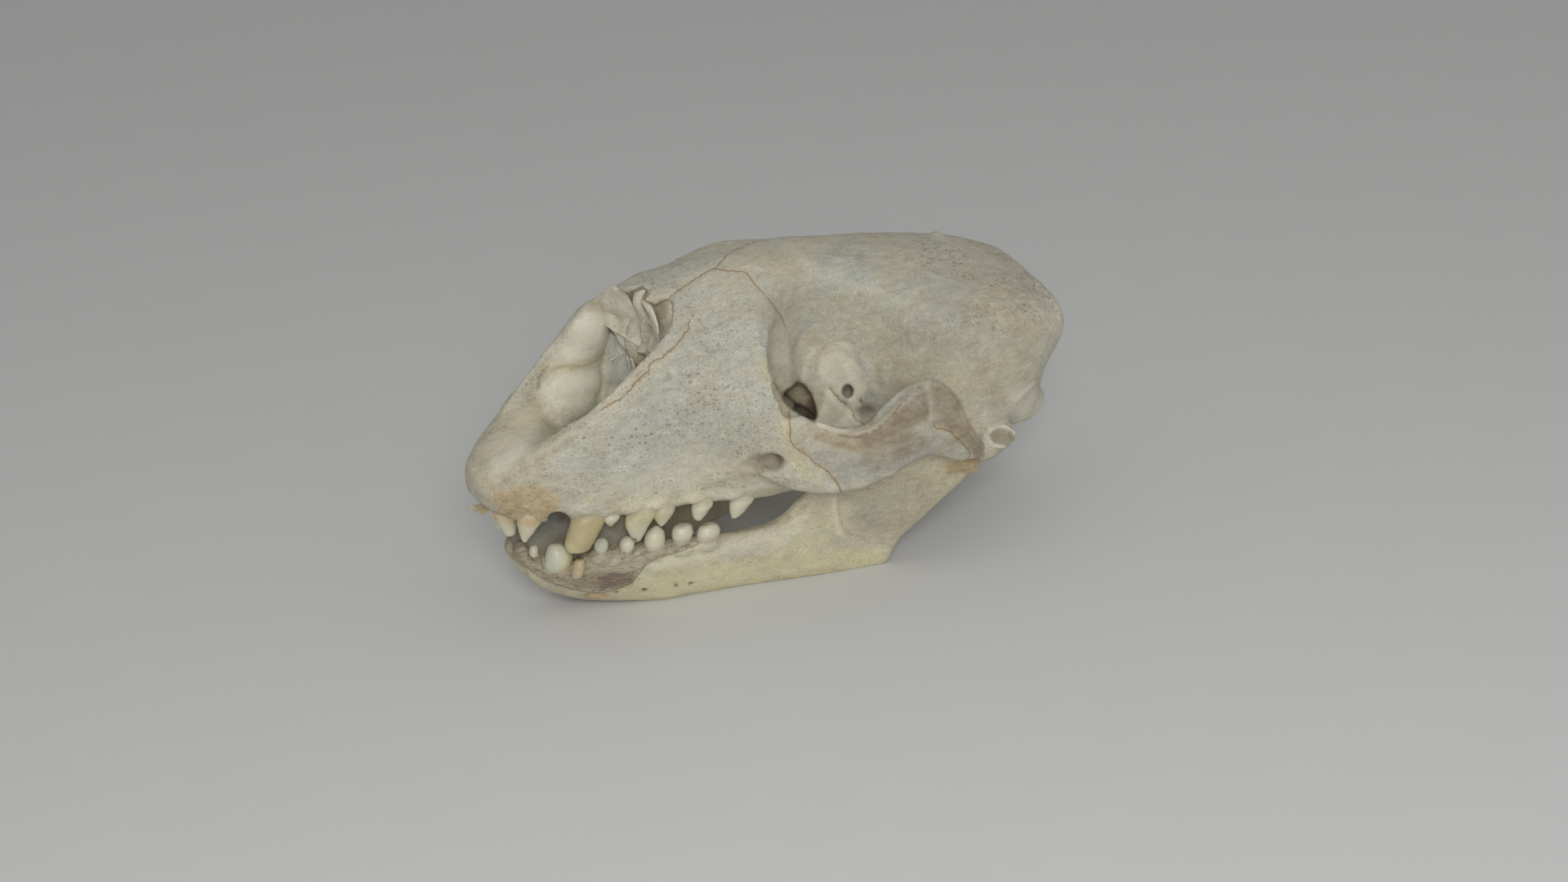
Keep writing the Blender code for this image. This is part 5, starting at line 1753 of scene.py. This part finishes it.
class SKULL_OT_cranium(bpy.types.Operator):
    """Cranium: a lofted shell with its hollows cut out, grown together with its arches and plates"""
    bl_idname = "skull.cranium"
    bl_label = "Cranium"

    def execute(self, context):
        sizes = context.scene.skull_sizes
        view = PhotoView(context.scene.skull_stage)
        shell = one_skin(lofted("skull_cranium", outline_rings(CRANIUM_STATIONS)), sizes.shell_grain)
        for hollow in cranium_hollows(view, sizes.shell_grain):
            cut(shell, hollow)
        cranium = one_skin(joined([shell, *cranium_additions(view)], "skull_cranium"), sizes.cranium_grain)
        for outline, first_y, second_y in (*SOCKET_HOLES, GAP_EDGE):
            for side in BOTH:
                cut(cranium, prism("opening", view, outline, first_y, second_y, side))
        one_skin(cranium, sizes.cranium_grain)
        finished_with(cranium, "SMOOTH", **EVENING)
        roughened(cranium, "slow swells", size=26, height=sizes.unevenness * 2)
        roughened(cranium, "small swells", size=7, height=sizes.unevenness)
        clay = Clay(cranium, view)
        for pixel, half_sizes, rounds in SOFTENED:
            place = clay.seen(pixel)
            for side in BOTH:
                clay.soften(place * (1, -side, 1), half_sizes, rounds)
        painted_shade = shape_by_tables(clay, CRANIUM_LINES, CRANIUM_SWELLS, CRANIUM_PITS)
        # Painted shade: in the holes and deep inside the nose and the braincase
        clay.write("hollow", np.maximum(painted_shade, painted_inner_shade(clay)))
        thinned(cranium)
        clay = Clay(cranium, view)
        write_seams(clay, CRANIUM_SEAMS)
        write_tones(clay, painted(clay, CRANIUM_STROKES, BOTH, CRANIUM_PATCHES))
        clay.write("pore", cranium_pores(clay))
        settle(cranium, ["cranium"], cranium_material(context.scene.skull_colours))
        return {"FINISHED"}


class SKULL_OT_nose(bpy.types.Operator):
    """Thin bones in the nose: the plates and strands of both passages and the front of the septum"""
    bl_idname = "skull.nose"
    bl_label = "Bones of the nose"

    def execute(self, context):
        view = PhotoView(context.scene.skull_stage)
        material = thin_bone_material(context.scene.skull_colours)
        for name, stations in NOSE_PLATES:
            plate = lofted(f"nose_{name}", plate_rings(view, stations))
            self.finish_plate(plate, material, view)
            if name not in SINGLE_PLATES:
                self.settle_plate(mirrored_copy(plate, f"nose_{name}_left"), material)
        strands = []
        for first, y, second, other_y, thickness in NOSE_STRANDS:
            ends = np.array((view.at_y(first, y), view.at_y(second, other_y)))
            for side in BOTH[::-1]:
                strands.append(self.strand(*(ends * (1, side, 1)), thickness))
        self.finish_plate(joined(strands, "nose_strands"), material, view)
        # A sheet behind the front teeth, coloured as the shade inside the mouth
        web = lofted("mouth_shade_sheet", plate_rings(view, MOUTH_SHADE_SHEET))
        roughened(web, "web folds", size=9, height=1.6)
        settle(web, [], mouth_shade_material(context.scene.skull_colours))
        return {"FINISHED"}

    def strand(self, start, end, thickness):
        """A thin bony strand that is thicker at both ends."""
        run = (end - start) / np.linalg.norm(end - start)
        across = np.cross(run, (0.0, 0.0, 1.0))
        across /= np.linalg.norm(across)
        up = np.cross(across, run)
        angles = angles_round(STRAND_SIDES)
        rings = []
        for share in np.linspace(0, 1, STRAND_LEVELS):
            width = thickness * (STRAND_WAIST + STRAND_FLARE * (share - 0.5) ** 2)
            rings.append(start + (end - start) * share
                         + width * (np.cos(angles)[:, None] * across + np.sin(angles)[:, None] * up))
        return lofted("strand", rings)

    def finish_plate(self, piece, material, view):
        """Crumples a thin piece a little, tones it and gives it its material."""
        finished_with(piece, "SUBSURF", levels=1, render_levels=1)
        roughened(piece, f"crumple {piece.name}", size=6, height=1.2)
        clay = Clay(piece, view)
        write_tones(clay, painted(clay, NOSE_STROKES, (-1,)))
        self.settle_plate(piece, material)

    def settle_plate(self, piece, material):
        """Puts a plate in the cranium's place."""
        settle(piece, ["cranium"], material)


class SKULL_OT_jaw(bpy.types.Operator):
    """Lower jaw: two halves that meet at the chin, cut flat where they rest"""
    bl_idname = "skull.jaw"
    bl_label = "Lower jaw"

    def execute(self, context):
        sizes = context.scene.skull_sizes
        view = PhotoView(context.scene.skull_stage)
        material = jaw_material(context.scene.skull_colours)
        for side_name, side in SIDES:
            bodies = [lofted("jaw", slab_rings(DENTARY_STATIONS, side)), ball("condyle", *CONDYLE, side),
                      *sockets("lower_socket", LOWER_SOCKETS, side)]
            bodies += [ball("chin", *lump, side) for lump in CHIN_LUMPS]
            half = joined(bodies, f"jaw_half_{side_name}")
            one_skin(half, sizes.jaw_grain)
            finished_with(half, "SMOOTH", **EVENING)
            roughened(half, "jaw swells", size=18, height=sizes.unevenness)
            roughened(half, "jaw grain", size=5, height=sizes.unevenness * 0.5)
            clay = Clay(half, view)
            painted_shade = shape_jaw(clay, side)
            clay.points[:, 2] = np.maximum(clay.points[:, 2], 0.0)
            clay.refresh()
            # Painted shade in the small holes
            clay.write("hollow", painted_shade)
            write_tones(clay, painted(clay, JAW_STROKES, (side,), JAW_PATCHES))
            clay.write("pore", np.full(len(clay.points), JAW_POROSITY))
            reach = outline_reach(view.pixels(clay.folded()), TISSUE_OUTLINE)
            there = smooth_step(reach, -TISSUE_SOFTNESS, TISSUE_SOFTNESS)
            clay.write("tissue", there * (clay.points[:, 0] < TISSUE_END))
            settle(half, [f"mandible_{side_name}"], material)
        return {"FINISHED"}


class SKULL_OT_teeth(bpy.types.Operator):
    """Teeth: ringed crowns with worn tips, set in both jaws"""
    bl_idname = "skull.teeth"
    bl_label = "Teeth"

    def execute(self, context):
        colours = context.scene.skull_colours
        view = PhotoView(context.scene.skull_stage)
        plain = tooth_material("skull tooth", colours.tooth, colours)
        stained = tooth_material("skull canine", colours.canine, colours)
        for name, crown in CROWNS.items():
            tooth = lofted(f"tooth_{name}_left", crown_rings(view, crown, ROOT_LENGTH))
            finished_with(tooth, "SUBSURF", levels=1, render_levels=1)
            twin = mirrored_copy(tooth, f"tooth_{name}_right")
            for piece, side_name in ((tooth, "left"), (twin, "right")):
                roughened(piece, f"wear {piece.name}", size=3.5, height=0.5)
                clay = Clay(piece, view)
                self.write_crown(clay, crown, view)
                write_tones(clay, painted(clay, TOOTH_STROKES, (-1,)))
                canine = name == "upper_canine"
                settle(piece, [f"{name}_{side_name}"],
                       stained if canine else plain)
        stub = lofted("tooth_stub_left", crown_rings(view, STUB, STUB_ROOT_LENGTH))
        roughened(stub, "wear of the stub", size=3.5, height=0.8)
        clay = Clay(stub, view)
        self.write_crown(clay, STUB, view)
        settle(stub, [], stained)
        return {"FINISHED"}

    def write_crown(self, clay, crown, view):
        """Stores how far each point is from the neck, 0, to the tip, 1."""
        y, _, levels = crown
        neck = view.at_y((levels[0][0], levels[0][2]), -y)[2]
        tip = view.at_y((levels[-1][0], levels[-1][2]), -y)[2]
        clay.write("crown", (clay.points[:, 2] - neck) / (tip - neck))


# Stage, panel and the run


class SKULL_OT_stage(bpy.types.Operator):
    """Pale floor, soft lights and the camera at the photograph's angle"""
    bl_idname = "skull.stage"
    bl_label = "Floor, lights and camera"

    def execute(self, context):
        stage = context.scene.skull_stage
        bpy.ops.object.select_all(action="DESELECT")
        bpy.ops.mesh.primitive_plane_add(size=FLOOR_SIZE)
        floor = bpy.context.object
        floor.name = "floor"
        sheet = Sheet("pale floor")
        grain = sheet.noise(30, 3)
        lighter = [part * FLOOR_MOTTLE for part in stage.floor]
        sheet.surface(sheet.mix(grain, stage.floor, lighter), roughness=0.85)
        floor.data.materials.append(sheet.material)

        view = PhotoView(stage)
        frame_axes = Matrix((view.right, view.up, view.back)).transposed()
        data = bpy.data.cameras.new("camera")
        data.lens = stage.lens
        data.sensor_width = SENSOR_WIDTH
        camera = bpy.data.objects.new("camera", data)
        camera.matrix_world = Matrix.Translation(Vector(to_model(view.place))) @ frame_axes.to_4x4()
        context.scene.collection.objects.link(camera)
        context.scene.camera = camera

        aim = Vector(to_model((0, 0, stage.aim_height)))
        self.soft_light("front light", aim, Vector(FRONT_LIGHT_PLACE), FRONT_LIGHT_SIZE, stage.front_light)
        self.soft_light("top light", aim, Vector(TOP_LIGHT_PLACE), TOP_LIGHT_SIZE, stage.top_light)
        world = bpy.data.worlds.new("studio")
        world.use_nodes = True
        backdrop = world.node_tree.nodes["Background"].inputs
        backdrop["Color"].default_value = (1.0, 1.0, 1.0, 1.0)
        backdrop["Strength"].default_value = stage.surround
        context.scene.world = world
        context.scene.view_settings.view_transform = "Standard"
        return {"FINISHED"}

    def soft_light(self, name, aim, place, size, power):
        """A square soft box that faces the skull."""
        data = bpy.data.lights.new(name, "AREA")
        data.size = size
        data.energy = power
        lamp = bpy.data.objects.new(name, data)
        lamp.location = place
        lamp.rotation_euler = (place - aim).to_track_quat("Z", "Y").to_euler()
        bpy.context.scene.collection.objects.link(lamp)


class SKULL_PT_panel(bpy.types.Panel):
    """Sidebar panel with the sizes, the colours and one button for each piece"""
    bl_label = "Seal skull"
    bl_idname = "SKULL_PT_panel"
    bl_space_type = "VIEW_3D"
    bl_region_type = "UI"
    bl_category = "Skull"

    def draw(self, context):
        for group in (context.scene.skull_sizes, context.scene.skull_colours, context.scene.skull_stage):
            for name in group.__annotations__:
                self.layout.prop(group, name)
        for step in STEPS:
            self.layout.operator(step.bl_idname)


STEPS = (SKULL_OT_cranium, SKULL_OT_nose, SKULL_OT_jaw, SKULL_OT_teeth, SKULL_OT_stage)
CLASSES = (SkullSizes, SkullColours, StageSettings, *STEPS, SKULL_PT_panel)


def register():
    """Adds the classes and the settings to Blender."""
    for cls in CLASSES:
        bpy.utils.register_class(cls)
    bpy.types.Scene.skull_sizes = PointerProperty(type=SkullSizes)
    bpy.types.Scene.skull_colours = PointerProperty(type=SkullColours)
    bpy.types.Scene.skull_stage = PointerProperty(type=StageSettings)


def unregister():
    """Takes the settings and the classes out of Blender."""
    del bpy.types.Scene.skull_stage
    del bpy.types.Scene.skull_colours
    del bpy.types.Scene.skull_sizes
    for cls in reversed(CLASSES):
        bpy.utils.unregister_class(cls)


def main():
    """Builds the skull and its stage."""
    register()
    bpy.ops.skull.cranium()
    bpy.ops.skull.nose()
    bpy.ops.skull.jaw()
    bpy.ops.skull.teeth()
    bpy.ops.skull.stage()


if __name__ == "__main__":
    main()
